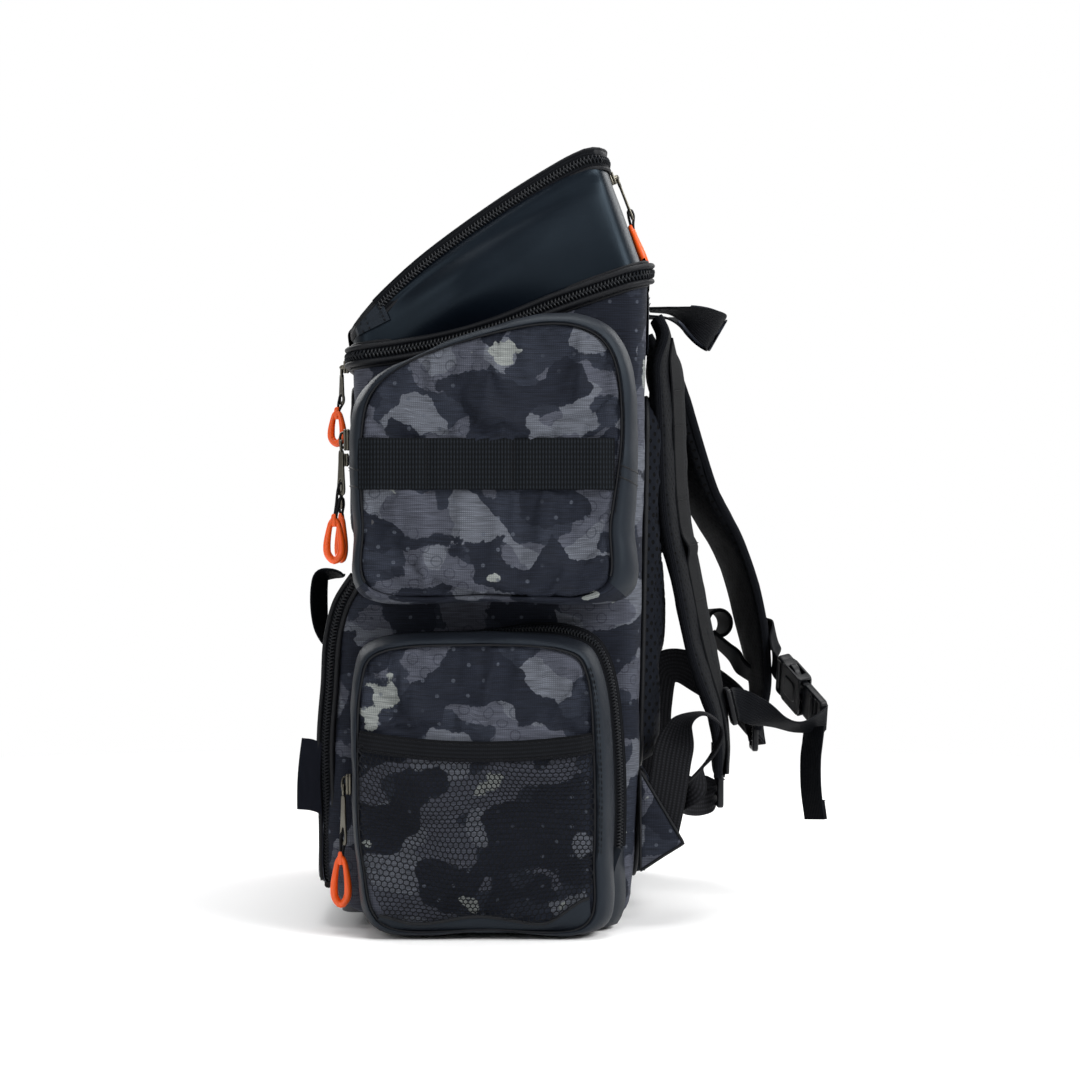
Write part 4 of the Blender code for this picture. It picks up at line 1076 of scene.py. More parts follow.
def make_lid():
    """The sloped camo lid, its bound rim and its lining."""
    y = around(-0.0875, BOX_REAR + 0.0008)
    edge = np.stack([HOOP[:, 0], y], axis=1)[::2]
    fill, reach = square_to_outline(edge, 60)
    crown = 0.0052 * (1 - np.clip(reach, 0, 1) ** 3.0)
    top = on_plan(fill, lid_height(fill[..., 1]) + crown)
    normals = grid_normals(top)
    normals *= np.sign(normals[..., 2:3])
    top = ruffle(top, normals, 0.0016 * (1 - reach**4), 19.0, 21.0)
    top = ruffle(top, normals, 0.0006 * (1 - reach**4), 60.0, 2.0)
    rim = np.stack([HOOP[:, 0], y, lid_height(y)], axis=1)
    out = unit(rim * (1, 1, 0))
    section = (
        (-0.0010, -0.0056), (0.0006, -0.0040), (0.0008, -0.0012), (0.0002, 0.0), (-0.0012, -0.0006),
    )
    skirt = lattice(np.array([rim + out * outwards + (0, 0, up) for outwards, up in section]), True)
    under = on_plan(fill * 0.995, lid_height(fill[..., 1]) - 0.0052)
    panel = add(
        "lid_panel", lattice(top, flat=fill * (1, 1.2)), "camo_ripstop", "top_lid", ["top_lid"],
        shift=(0.05, 0.02, 0.30),
        settle=dict(held=reach > 0.985, grow=0.010, gravity=0.1, pressure=0.3, cap=0.0030),
    )
    add("lid_binding", [skirt, ring_piping(rim + (0, 0, 0.0006))], "binding", "top_lid")
    add("lid_lining", lattice(under[:, ::-1]), "lining", "top_lid")


# --- front ----------------------------------------------------------------------------------------
def make_door():
    """The fold-down door over the tray opening."""
    line = spread(catmull(FRONT_LINE), 60)
    share = np.linspace(0, 1, len(line))[:, None]
    across = np.linspace(-1, 1, 73)[None, :]
    swell = (1 - np.abs(across) ** 5) ** 0.6 * np.sin(math.pi * (0.06 + 0.90 * share)) ** 0.55
    x = across * DOOR_HALF_WIDTH
    back, z = line[:, 0:1] - 0.0008, line[:, 1:2]
    spots = together(x, back - 0.0112 * swell, z)
    normals = grid_normals(spots)
    calm = np.clip(swell * 1.5, 0, 1)
    spots = ruffle(spots, normals, 0.0016 * calm, 17.0, 31.0)
    spots = ruffle(spots, normals, 0.0006 * calm, 55.0, 32.0)
    held = (np.abs(across) > 0.985) | (share < 0.03) | (share > 0.975)
    panel = add(
        "door_panel", lattice(spots, flat=together(x, z)), "camo_ripstop", "tray_door", ["tray_door"],
        shift=(0.3, 0.1, 0),
        settle=dict(held=held, grow=0.012, gravity=0.3, pressure=0.2, cap=0.0030),
    )
    add("door_lining", lattice(together(x, back, z)[:, ::-1]), "lining", "tray_door")
    make_door_zip(line)


def make_door_zip(line):
    """The zip up both sides of the door and across its top, with the piping beside it."""
    half = 0.1352
    low = 1 - smoothstep(line[:, 1], 0.045, 0.120)
    side = together(half - 0.0020 * low, line[:, 0] - 0.0010 + 0.0042 * low, line[:, 1])
    side = side[line[:, 1] > 0.0265]
    top = together(np.linspace(half, -half, 30), side[-1, 1], side[-1, 2])
    route = np.vstack([side, top[1:], (side * (-1, 1, 1))[::-1][1:]])
    route = spread(catmull(route[::3]), 260)
    sideways = np.sign(route[:, 0]) * smoothstep(np.abs(route[:, 0]), 0.118, 0.134) * 0.9
    out = unit(together(sideways, -0.62, 0.55 * smoothstep(route[:, 2], 0.19, 0.216)))
    lead = route + out * 0.0012
    make_zip("door_zip", lead, out, "bag", "tray_door", pitch=0.0021, size=0.95)
    _, across_way, _ = frames(lead, out)
    for word, body, sign in (("body", "bag", 1.0), ("door", "tray_door", -1.0)):
        edge = lead + across_way * sign * 0.0054
        soft = ruffle(edge, out, 0.0005, 40.0, 40.0 + sign)
        add(f"door_piping_{word}", piping(soft, out, 0.0016, 1.1), "binding", body)
    across = np.linspace(-1, 1, 40)
    hem = together(0.134 * across, -0.1010 - 0.0035 * (1 - across**4), 0.0255)
    add("door_hem", piping(hem, FORWARD, 0.0020, 1.2), "binding", "tray_door")


def make_door_loop():
    """The webbing loop on the door's top, turned a little about its own length."""
    section = (
        (-0.1010, 0.2155), (-0.1090, 0.2165), (-0.1158, 0.2150), (-0.1176, 0.2080),
        (-0.1178, 0.1950), (-0.1164, 0.1810), (-0.1122, 0.1680), (-0.1110, 0.1600),
    )
    line = on_side(0.0, spread(catmull(section), 60))
    share = np.linspace(0, 1, 60)[:, None]
    ahead = unit(np.gradient(line, axis=0))
    turn = np.radians(27) * np.sin(math.pi * np.clip(share * 1.15, 0, 1)) ** 0.5
    out = np.cross(ASIDE, ahead) * np.cos(turn) + ASIDE * np.sin(turn)
    out = out if out[30, 1] < 0 else -out
    web = sweep(line, out, band(0.021, 0.0018))
    add("door_pull_loop", web, "black_webbing", "tray_door", ["door_loop"])
    right, low, high = 0.008, 0.1615, 0.1680
    box = [(-right, low), (right, low), (right, high), (-right, high), (-right, low)]
    rows = stitches([(x, -0.1122, z) for x, z in box], FORWARD)
    add("door_loop_stitches", rows, "thread", "tray_door")


def make_label():
    """A blank folded tab in the door's side seam."""
    rows = np.linspace(0, 1, 16)[:, None]
    columns = np.linspace(0, 1, 8)[None, :]
    z = 0.0690 + 0.044 * rows + 0.0040 * columns + 0.0008 * np.sin(columns * 4)
    y = -0.1050 - 0.0125 * columns - 0.0028 * (1 - rows) * columns - 0.0010 * np.sin(rows * 3.1)
    x = 0.1346 + 0.0012 * columns * np.sin(rows * 4.0 + 0.6)
    front = together(x, y, z)
    thick = (0.0011, 0, 0)
    edge = np.vstack([front[0], front[1:, -1], front[-1, -2::-1], front[-2:0:-1, 0]])
    parts = [lattice(front[:, ::-1]), lattice(front - thick), ring_strip(edge - thick, edge)]
    label = add("side_label", parts, "label_cloth", "tray_door", ["label_tab"])


def make_front_pocket():
    """The flat pocket above the door, with its zip across the middle."""
    outline = rounded_rectangle(0.112, 0.238, 0.334, 0.012, turns=8)
    fill, reach = square_to_outline(outline, 56)
    x, z = fill[..., 0], fill[..., 1]
    seam = bump(z, FRONT_ZIP_HEIGHT, 0.0035) * (1 - smoothstep(np.abs(x), 0.100, 0.108))
    y = front_face(z) - 0.0008 - 0.0052 * (1 - np.clip(reach, 0, 1) ** 6) + 0.0016 * seam
    spots = ruffle(together(x, y, z), FORWARD, 0.0011 * (1 - reach**4), 22.0, 51.0)
    held = (reach > 0.985) | (np.abs(z - FRONT_ZIP_HEIGHT) < 0.0070)
    panel = add(
        "front_pocket_panel", lattice(spots, flat=fill), "camo_ripstop", "bag", ["front_pocket"],
        shift=(0.1, 0.3, 0.1), settle=dict(held=held, grow=0.03, pressure=0.3, cap=0.0020),
    )
    ring = together(outline[:, 0], front_face(outline[:, 1]) - 0.0012, outline[:, 1])
    add("front_pocket_piping", piping(ring, FORWARD, 0.0017, 0.9, loop=True), "binding", "bag")
    x = np.linspace(-0.100, 0.100, 60)
    zip_line = together(x, -0.0904 - 0.0004 * np.cos(x * 15), FRONT_ZIP_HEIGHT)
    make_zip("front_zip", zip_line, FORWARD, "bag", "bag", pitch=0.0019, size=0.8)
    rows = [stitches(zip_line + (0, -0.0002, up), FORWARD) for up in (-0.0072, 0.0072)]
    add("front_pocket_stitches", rows, "thread", "bag")


# --- side pockets ---------------------------------------------------------------------------------
TRIM_ROWS = (  # share of the way from the face's edge to the rim, and depth behind the face
    (-0.12, 0.0040),
    (0.00, 0.0022),
    (0.07, 0.0002),
    (0.20, -0.0010),
    (0.38, -0.0004),
    (0.58, 0.0022),
    (0.76, 0.0062),
    (0.90, 0.0115),
    (0.98, 0.0180),
    (1.00, 0.0250),
    (0.96, 0.0305),
    (0.84, 0.0316),
)


def pocket_hinge(level, side, sign):
    """The bodies that a pocket cover's fabric bends between, and where it starts and ends."""
    if level == "upper":
        start, end = (sign * 0.1570, 0, 0.1990), (sign * 0.1760, 0, 0.2340)
    else:
        start, end = (sign * 0.1570, 0, 0.0010), (sign * 0.1780, 0, 0.0400)
    return ("bag", f"{level}_cover_{side}", start, end)


def pocket_trim(level, edge, front, side, sign, seed):
    """The coated band round a cover's face; gives its grid and which columns face the ground."""
    hinge = pocket_hinge(level, side, sign)
    rings = [on_side(POCKET_FACE - deep, front + (edge - front) * share) for share, deep in TRIM_ROWS]
    trim = np.array(rings)
    normals = grid_normals(trim, True)
    calm = np.array([0, 0.3, 0.8, 1, 1, 1, 1, 0.8, 0.5, 0.3, 0, 0])[:, None]
    trim = ruffle(trim, normals, 0.0011 * calm, 38.0, seed)
    trim = ruffle(trim, normals, 0.0006 * calm, 90.0, seed + 4)
    flat = np.stack(np.meshgrid(perimeter(edge), lengths(trim[:, 20])), axis=-1)
    under = (front[:, 1] < 0.2160) if level == "upper" else np.zeros(len(front), bool)
    under = under & np.roll(under, -1)
    rows = (len(trim) - 1, 1)
    skin = flip(lattice(trim, True, flat=flat, keep=np.tile(~under, rows)), sign)
    add(f"{level}_trim_{side}", skin, "trim_fabric", hinge)
    if under.any():
        fold = flip(lattice(trim, True, flat=flat, keep=np.tile(under, rows)), sign)
        add(f"{level}_trim_under_{side}", fold, "camo_ripstop", hinge, shift=(seed * 0.1, 0, 0))
    return trim, under


def pocket_panel(level, edge, front, side, sign, seed):
    """A cover's camo face, full and slightly creased, and the lining behind it."""
    hinge = pocket_hinge(level, side, sign)
    fill, reach = square_to_outline(shrink(front, 0.0006), 64)
    y, z = fill[..., 0], fill[..., 1]
    near = np.clip(reach, 0, 1)
    dome = 0.0028 * (1 - near**2.5) - 0.0016 * near**10
    spots = on_side(POCKET_FACE - 0.0006 + dome, fill)
    calm = 1 - reach**6
    if level == "lower":
        held = (reach > 0.985) | (z < 0.125)
        calm = calm * (0.30 + 0.70 * smoothstep(z, 0.105, 0.130))
    else:
        held = (reach > 0.985) | (np.abs(z - sum(MOLLE_BAND) / 2) < 0.0150)
        free = smoothstep(-z, -MOLLE_BAND[0], -MOLLE_BAND[0] + 0.02)
        pleat = np.sin((z - POCKET_FOOT) * 210 + 2.2 * np.sin(y * 38)) * bump(z, 0.212, 0.022)
        spots = spots + ASIDE * (0.0011 * free * calm * pleat)[..., None]
    spots = ruffle(spots, ASIDE, 0.0034 * calm, 21.0, seed + 1)
    spots = ruffle(spots, ASIDE, 0.0013 * calm, 55.0, seed + 2)
    panel = add(
        f"{level}_panel_{side}", flip(lattice(spots, flat=fill), sign), "camo_ripstop", hinge,
        [f"{level}_cover_{side}"], shift=(seed * 0.1, 0, 0),
        settle=dict(held=held, grow=0.09, pressure=0.6, cap=0.0065),
    )
    section = ((0.10, 0.0040), (0.55, 0.0075), (0.90, 0.0160), (0.98, 0.0240), (0.96, 0.0314))
    rings = [
        on_side(POCKET_FACE - deep, shrink(front + (edge - front) * share, 0.0030))
        for share, deep in section
    ]
    back = on_side(POCKET_FACE - 0.0046, fill[::2, ::-2])
    lining = [lattice(np.array(rings)[:, ::-1], True), lattice(back)]
    add(f"{level}_cover_lining_{side}", flip(lining, sign), "lining", hinge)


def pocket_seams(level, edge, front, trim, under, side, sign):
    """The seam round a cover's face, and the joints in the upper cover's trim."""
    hinge = pocket_hinge(level, side, sign)
    seam = on_side(POCKET_FACE + 0.0002, front + (edge - front) * 0.02)
    first = int(np.argmax(~under & np.roll(under, 1)))
    seam = np.roll(seam, -first, axis=0)[: int((~under).sum())]
    seam_part = piping(seam, ASIDE, 0.0007, 0.8, sides=6, loop=not under.any())
    add(f"{level}_seam_{side}", flip(seam_part, sign), "binding", hinge)
    if level == "upper":
        joints = []
        for height in (0.2810, 0.2705):
            for ahead in (-1, 1):
                near = np.where(np.sign(edge[:, 0]) == ahead, np.abs(edge[:, 1] - height), 1.0)
                fold = trim[2:10, int(near.argmin())]
                joints.append(piping(spread(fold, 24), (1, 0, 0.2), 0.0006, 0.8, sides=6))
        add(f"upper_trim_joints_{side}", flip(joints, sign), "binding", hinge)


GUSSET_ROWS = (  # X, inset, and how far it is pushed out at the rear: everywhere, and above the foot
    (POCKET_ZIP - 0.0020, 0.0046, 0.0, 0.0),
    (POCKET_ZIP - 0.0008, 0.0014, 0.0012, 0.0074),
    (0.1530, 0.0018, 0.0050, 0.0042),
    (HALF_WIDTH + 0.0002, 0.0004, 0.0078, 0.0),
    (None, 0.0004, 0.0078, 0.0),  # on the body's own skin
)


def pocket_gusset(level, edge, flare, side, sign):
    """The band of trim between the body's skin and the zip."""
    under_zip = smoothstep(edge[:, 1], 0.030, 0.060)
    rings = []
    for x, inset, push, more in GUSSET_ROWS:
        ring = shrink(edge, inset - flare * (push + more * under_zip))
        high = np.clip(ring[:, 1], 0.0020, rim_height(ring[:, 0]) - 0.0088)
        x = side_of_body(ring[:, 0], high) - 0.0010 if x is None else x
        rings.append(together(x, ring[:, 0], high))
    rings = np.array(rings)
    layers = [lattice(rings, True), lattice(rings[:, ::-1] - (0, 0, 0.0002), True)]
    name = f"{level}_gusset_skin_{side}"
    add(name, flip(layers, sign), "trim_fabric", "bag", [f"{level}_gusset_{side}"])


def pocket_zip(level, edge, flare, side, sign):
    """The zip round a cover's edge, from the front of its foot over the top to the rear."""
    start = POCKET_FOOT + 0.012 if level == "upper" else 0.050
    zipped = edge[:, 1] > start
    order = np.roll(np.arange(len(edge)), -int(np.argmax(zipped & ~np.roll(zipped, 1))))
    picks = order[zipped[order]]
    radial = unit(shrink(edge, -0.001) - edge)
    line = shrink(edge, 0.0012 - flare * 0.0046)
    line[:, 1] = np.minimum(line[:, 1], rim_height(line[:, 0]) - 0.0105)
    path = on_side(POCKET_ZIP + flare * 0.0030, line)[picks]
    out = unit(on_side(flare * 1.25, radial)[picks])
    path, out = evenly(path, out, 300)
    halves = coil_halves(path, unit(out), pitch=0.0020, size=0.85)
    for half, body, word in zip(halves, ("bag", pocket_hinge(level, side, sign)), ("a", "b")):
        add(f"{level}_coil_{word}_{side}", flip(half[0], sign), "zip_coil", body)
        add(f"{level}_tape_{word}_{side}", flip(half[1], sign), "zip_tape", body)


def pocket_stitches(level, edge, front, side, sign):
    """Rows of stitches down the rear of a cover's trim."""
    foot = POCKET_FOOT if level == "upper" else 0.0
    rear = (edge[:, 0] > 0.02) & (edge[:, 1] > foot + 0.045) & (edge[:, 1] < foot + 0.165)
    places = ((0.14, 0.0008),) if level == "upper" else ((0.24, 0.0010), (0.36, 0.0004))
    rows = [
        stitches(on_side(POCKET_FACE + rise, front + (edge - front) * share)[rear], ASIDE)
        for share, rise in places
    ]
    add(f"{level}_trim_stitches_{side}", flip(rows, sign), "thread", pocket_hinge(level, side, sign))


def make_pocket(level, rim, face, side, sign, seed):
    """A side pocket. Its gusset and zip flare outwards at the lower pocket's rear."""
    edge, front = smooth_outline(rim, POCKET_POINTS), smooth_outline(face, POCKET_POINTS)
    flare = smoothstep(edge[:, 0], -0.02, 0.05) * (level == "lower")
    trim, under = pocket_trim(level, edge, front, side, sign, seed)
    pocket_panel(level, edge, front, side, sign, seed)
    pocket_seams(level, edge, front, trim, under, side, sign)
    pocket_gusset(level, edge, flare, side, sign)
    pocket_zip(level, edge, flare, side, sign)
    pocket_stitches(level, edge, front, side, sign)


def make_molle(side, sign):
    """The webbing across an upper cover, tacked down at two places."""
    y = np.linspace(-0.0785, 0.0745, 90)
    middle = sum(MOLLE_BAND) / 2
    tacks = (-0.0375, 0.0139)
    hold = sum(bump(y, tack, 0.004) for tack in tacks)
    loose = 0.0011 * (1 - np.clip(hold, 0, 1))
    ends = 0.0030 * smoothstep(np.abs(y + 0.002), 0.066, 0.077)
    line = together(POCKET_FACE + 0.0022 + loose - ends, y, middle)
    line = ruffle(line, ASIDE, 0.0006, 60.0, 7.0)
    web = sweep(line, ASIDE, band(MOLLE_BAND[1] - MOLLE_BAND[0], 0.0018, steps=12))
    body = f"upper_cover_{side}"
    add(f"molle_{side}", flip(web, sign), "molle_tape", body, [f"molle_web_{side}"])
    z = np.linspace(MOLLE_BAND[0] + 0.001, MOLLE_BAND[1] - 0.001, 8)
    rows = [
        stitches(together(POCKET_FACE + 0.0032, tack + shift, z), ASIDE, 0.0016, 0.0013, 0.00035)
        for tack in tacks
        for shift in (-0.0007, 0.0007)
    ]
    add(f"molle_tacks_{side}", flip(rows, sign), "thread", body)


def foot_line(y):
    """Height of the net's lower edge, where the coated foot starts."""
    rise = 0.0115 * smoothstep(y, 0.030, 0.060)
    return 0.0120 + 0.0022 * np.cos(y * 85 + 0.5) + rise + 0.002 * smoothstep(-y, 0.045, 0.065)


def hang_net(spots):
    """The net's flat (Y, Z) points as they hang: sagging at the middle and pulled out of line."""
    y, z = spots[..., 0], spots[..., 1]
    waves = 0.0022 * np.sin(y * 62 + z * 40) + 0.0016 * np.sin(z * 110 - y * 30)
    sag = -0.006 * (1 - (y / 0.07) ** 2) + waves
    slip = 0.0026 * np.sin(z * 52 + 1.0) + 0.0012 * np.sin(y * 90 + z * 70)
    return np.stack([y + slip, z + 0.060 + sag], axis=-1)


def net_yarns():
    """A knitted net of hexagons: one four-sided yarn along each of their edges."""
    cell, thick = 0.0033, 0.00034
    rows, columns = np.arange(-24, 40), np.arange(-30, 31)
    centres = np.array([((i + 0.5 * (j % 2)) * cell, j * cell * 0.866) for j in rows for i in columns])
    turns = np.radians(np.arange(6) * 60 + 30)
    corners = centres[:, None] + np.stack([np.cos(turns), np.sin(turns)], axis=1) * cell / math.sqrt(3)
    corners = np.round(corners, 7)
    placed = hang_net(corners)
    y, z = placed.mean(axis=1).T
    top = 0.1085 + 0.0060 * (y / 0.07) ** 2
    front_edge = np.interp(z, [p[1] for p in LOWER_FACE[:4]], [p[0] for p in LOWER_FACE[:4]])
    keep = (z < top) & (z > foot_line(y) + 0.0015) & (y > front_edge + 0.001) & (y < 0.0605)
    edges = {}
    for hexagon, spots in zip(corners[keep], placed[keep]):
        for k in range(6):
            after = (k + 1) % 6
            ends = sorted((tuple(hexagon[k]), tuple(hexagon[after])))
            edges.setdefault(tuple(ends), (spots[k], spots[after]))
    ends = np.array(list(edges.values()))
    depth = 0.0007 * np.sin(ends[..., 0] * 60) * np.sin(ends[..., 1] * 45)
    spots = on_side(NET_FACE + depth, ends)
    across = unit(np.cross(unit(spots[:, 1] - spots[:, 0]), ASIDE)) * thick
    outward = np.broadcast_to(ASIDE * thick * 0.8, across.shape)
    ring = [across, outward, -across, -outward]
    verts = np.stack([spots[:, end] + r for end in (0, 1) for r in ring], axis=1).reshape(-1, 3)
    quads = ((0, 1, 5, 4), (1, 2, 6, 5), (2, 3, 7, 6), (3, 0, 4, 7))
    faces = [tuple(8 * i + k for k in quad) for i in range(len(spots)) for quad in quads]
    return verts, faces, verts[:, 1:]


def make_net(side, sign):
    """The mesh sleeve: a knitted net with an elastic top hem, and the coated foot below it."""
    hinge = pocket_hinge("lower", side, sign)
    net = flip(net_yarns(), sign)
    net = add(f"mesh_net_{side}", net, "mesh_yarn", hinge, [f"mesh_pocket_{side}"])

    y = np.linspace(-0.0785, 0.0615, 80)
    z = 0.1125 + 0.0058 * ((y + 0.004) / 0.07) ** 2
    line = together(NET_FACE - 0.003 * smoothstep(np.abs(y + 0.0085), 0.062, 0.070), y, z)
    line = ruffle(line, ASIDE, 0.0007, 80.0, 3.0)
    hem = sweep(line, ASIDE, band(0.0125, 0.0020, steps=6))
    rows = [stitches(line + (0.0011, 0, up), ASIDE) for up in (-0.0046, 0.0046)]
    add(f"mesh_hem_{side}", flip(hem, sign), "elastic", hinge)
    add(f"mesh_hem_stitches_{side}", flip(rows, sign), "thread", hinge)

    y = np.linspace(-0.066, 0.0595, 90)
    line = together(POCKET_FACE + 0.0034, y, foot_line(y))
    low = np.interp(y, (-0.066, -0.058, 0, 0.055, 0.0595), (0.0100, 0.0046, 0.0036, 0.0046, 0.0100))
    bottom = together(POCKET_FACE - 0.0022, y * 1.02, low)
    t = np.linspace(1, 0, 8)[:, None, None]
    skirt = line + (bottom - line) * t + ASIDE * 0.0010 * np.sin(math.pi * t)
    add(f"lower_foot_{side}", flip(lattice(skirt), sign), "trim_fabric", hinge)
    add(f"lower_foot_seam_{side}", flip(piping(line, ASIDE, 0.0010, 0.8), sign), "binding", hinge)


# --- back and straps ------------------------------------------------------------------------------
def make_pad(name, node, half_width, low, high, thick, channels):
    """A foam pad on the rear face under spacer mesh, with moulded channels and a bound edge."""
    outline = rounded_rectangle(half_width - 0.0015, low + 0.0015, high - 0.0015, 0.020)
    fill, reach = square_to_outline(outline, 78)
    x, z = fill[..., 0], fill[..., 1]
    swell = (1 - np.clip(reach, 0, 1) ** 9) ** 0.5
    groove = bump(x, 0.0, 0.011)
    for height, slope in channels:
        line = bump(z, height + slope * np.abs(x), 0.0055)
        groove = np.maximum(groove, line * (1 - smoothstep(np.abs(x), 0.075, 0.098)))
    y = rear_face(z) + 0.0012 + (thick - 0.0010) * swell * (1 - 0.42 * groove)
    spots = ruffle(together(x, y, z), BACKWARD, 0.0012 * (1 - reach**6), 26.0, 61.0)
    wrapped = thick * (1 - swell) * smoothstep(np.abs(x), 0.5 * half_width, 0.9 * half_width)
    flat = together(x + np.sign(x) * wrapped, z)
    held = (groove > 0.55) | (reach > 0.97)
    pad = add(
        name, lattice(spots[:, ::-1], flat=flat[:, ::-1]), "air_mesh", "bag", [node],
        settle=dict(held=held[:, ::-1], pressure=2.0, grow=0.03, cap=0.0035),
    )
    ring = together(outline[:, 0], rear_face(outline[:, 1]) + 0.0018, outline[:, 1])
    add(f"{name}_binding", piping(ring, BACKWARD, 0.0022, 0.8, loop=True), "binding", "bag")


def make_yoke():
    """The sewn panel across the top of the back, over the ends of the straps and the handle."""
    outline = rounded_rectangle(0.118, 0.356, 0.3945, 0.008)
    fill, reach = square_to_outline(outline, 40)
    y = rear_face(fill[..., 1]) + 0.0012 + 0.0016 * (1 - np.clip(reach, 0, 1) ** 8)
    spots = together(fill[..., 0], y, fill[..., 1])
    add("back_yoke", lattice(spots[:, ::-1], flat=fill[:, ::-1]), "trim_fabric", "bag")
    rows = []
    for inset, rise in ((0.003, 0.0022), (0.0065, 0.0026)):
        ring = shrink(outline, inset)
        ring = together(ring[:, 0], rear_face(ring[:, 1]) + rise, ring[:, 1])
        for part in (ring[:, 2] > 0.3845, ring[:, 2] < 0.3665):
            line = ring[part & (np.abs(ring[:, 0]) < 0.108)]
            rows.append(stitches(line[np.argsort(line[:, 0])], BACKWARD))
    add("back_yoke_stitches", rows, "thread", "bag")


def make_strap(side, sign, points, twist, stand_at):
    """A shoulder strap: foam under mesh, knit binding, and webbing that stands off in one place."""
    low = 2 * np.array(points[-1]) - points[-2]
    line = spread(catmull((*points, tuple((low + points[-1]) / 2))), 120)
    line[:, 0] *= sign
    share = np.linspace(0, 1, len(line))
    padded = smoothstep(share, 0.02, 0.10) * (1 - smoothstep(share, 0.35, 0.62))
    line[:, 1] -= 0.0035 * padded
    ahead = unit(np.gradient(line, axis=0))
    out = np.cross(ASIDE, ahead)
    out = unit(out * np.sign(out[:, 1:2]))
    twist = np.radians(twist) * smoothstep(share, 0.02, 0.12) * (1 - 0.6 * smoothstep(share, 0.70, 0.95))
    out = out * np.cos(twist)[:, None] + np.cross(ahead, out) * (sign * np.sin(twist))[:, None]
    taper = 1 - 0.30 * smoothstep(share, 0.86, 1.0) - 0.18 * (1 - smoothstep(share, 0.0, 0.06))
    section = band(0.0600, 0.0065, 0.0030, crown=0.0019, steps=13)
    _, across, outward = frames(line, out)
    full = 0.55 + 0.45 * np.sin(math.pi * np.clip(share, 0.06, 0.94)) ** 0.3
    full = full - 0.30 * smoothstep(share, 0.92, 1.0)
    shape = section[None] * together(taper, full)[:, None]
    deep = np.where(shape[..., 1:2] < 0, 1 + 1.1 * padded[:, None, None], 1.0)
    spots = line[:, None] + across[:, None] * shape[..., 0:1] + outward[:, None] * shape[..., 1:2] * deep
    normals = grid_normals(spots, True)
    spots = ruffle(spots, normals, 0.0009, 34.0, 70.0 + sign)
    spots = ruffle(spots, normals, 0.0005, 95.0, 71.0 + sign)
    flat = np.stack(np.meshgrid(lengths(section), lengths(line)), axis=-1)
    verts, faces, flat = lattice(spots, True, flat=flat)
    count = len(section)
    last = (len(line) - 1) * count
    faces += [tuple(range(last, last + count)), tuple(reversed(range(count)))]
    body = (verts, faces, flat)
    strap = add(f"strap_{side}", body, "strap_mesh", "bag", [f"shoulder_strap_{side}"])

    edges = []
    for way in (-1, 1):
        edge = line + across * (way * 0.0300 * taper)[:, None]
        edge = ruffle(edge, across, 0.0006, 50.0, 72.0 + way)
        edges.append(piping(edge, outward, 0.0016, 1.7))
    add(f"strap_binding_{side}", edges, "strap_knit", "bag")
    upper = line + outward * 0.0049
    stand = 0.0030 * bump(share, stand_at, 0.022)
    centre = upper + outward * stand[:, None]
    web = sweep(centre[6:-1], outward[6:-1], band(0.0250, 0.0015, steps=8))
    add(f"strap_webbing_{side}", web, "strap_tape", "bag")
    rows = []
    for place in (0.16, 0.24, 0.40, 0.50, 0.62):
        i = int(place * (len(line) - 1))
        ends = [centre[i] + across[i] * d + outward[i] * 0.0009 for d in (-0.0115, 0.0115)]
        rows.append(stitches(ends, outward[i], 0.0015, 0.0012, 0.0004))
    add(f"strap_tacks_{side}", rows, "thread", "bag")


def make_adjuster(side, sign, route):
    """The webbing from a ladder lock down to the body, and the camo wing that anchors it."""
    line, out = ribbon(route, 130, sign)
    web = sweep(line, out, band(0.0245, 0.0015, steps=8))
    add(f"adjuster_{side}", web, "herringbone", "bag", [f"adjuster_web_{side}"])

    inner_face, outer_face = 0.1190, 0.1318
    corners = np.array([(0.0922, 0.0960), (0.1190, 0.0510), (0.1060, 0.0430), (0.0922, 0.0340)])
    ring = spread(np.vstack([corners, corners[:1]]), 90)[:-1]
    fill, reach = square_to_outline(ring, 26)
    puff = 0.0012 * (1 - np.clip(reach, 0, 1) ** 4)
    layers = []
    for x, way in ((outer_face, 1), (inner_face, -1)):
        spots = ruffle(on_side(x + way * puff, fill), ASIDE, 0.0008 * (1 - reach**4), 50.0, 81.0)
        layers.append(lattice(spots[:, ::way], flat=fill[:, ::way]))
    wing = flip(layers, sign)
    add(f"wing_{side}", wing, "camo_ripstop", "bag", [f"anchor_wing_{side}"], shift=(0.2, 0.5, 0.2))
    rims = np.array([on_side(x, ring) for x in (inner_face, 0.1230, 0.1280, outer_face)])
    edge = [lattice(rims, True), piping(rims[-1], ASIDE, 0.0010, 1.2, loop=True)]
    add(f"wing_binding_{side}", flip(edge, sign), "binding", "bag")


def make_tail_loop():
    """The spare end of the far adjuster, rolled up beside the far strap."""
    wide = unit((1.0, 0.36, 0.06))
    first = unit(np.cross(wide, UPWARD))
    second = np.cross(wide, first)
    turns = np.linspace(math.radians(75), math.radians(-330), 60)
    centre, radius = np.array((-0.106, 0.1535, 0.1800)), 0.0092
    roll = centre + radius * (first * np.cos(turns)[:, None] + second * np.sin(turns)[:, None])
    roll = roll - wide * np.linspace(0, 0.003, 60)[:, None]
    lead = ((-0.088, 0.1790, 0.1440), (-0.093, 0.1720, 0.1500), (-0.099, 0.1650, 0.1590), tuple(roll[0]))
    lead = catmull(lead)[:-1]
    line = spread(np.vstack([lead, roll]), 110)
    out = unit(np.cross(wide, unit(np.gradient(line, axis=0))))
    add("adjuster_tail", sweep(line, out, band(0.0240, 0.0026, steps=8)), "black_webbing", "bag")


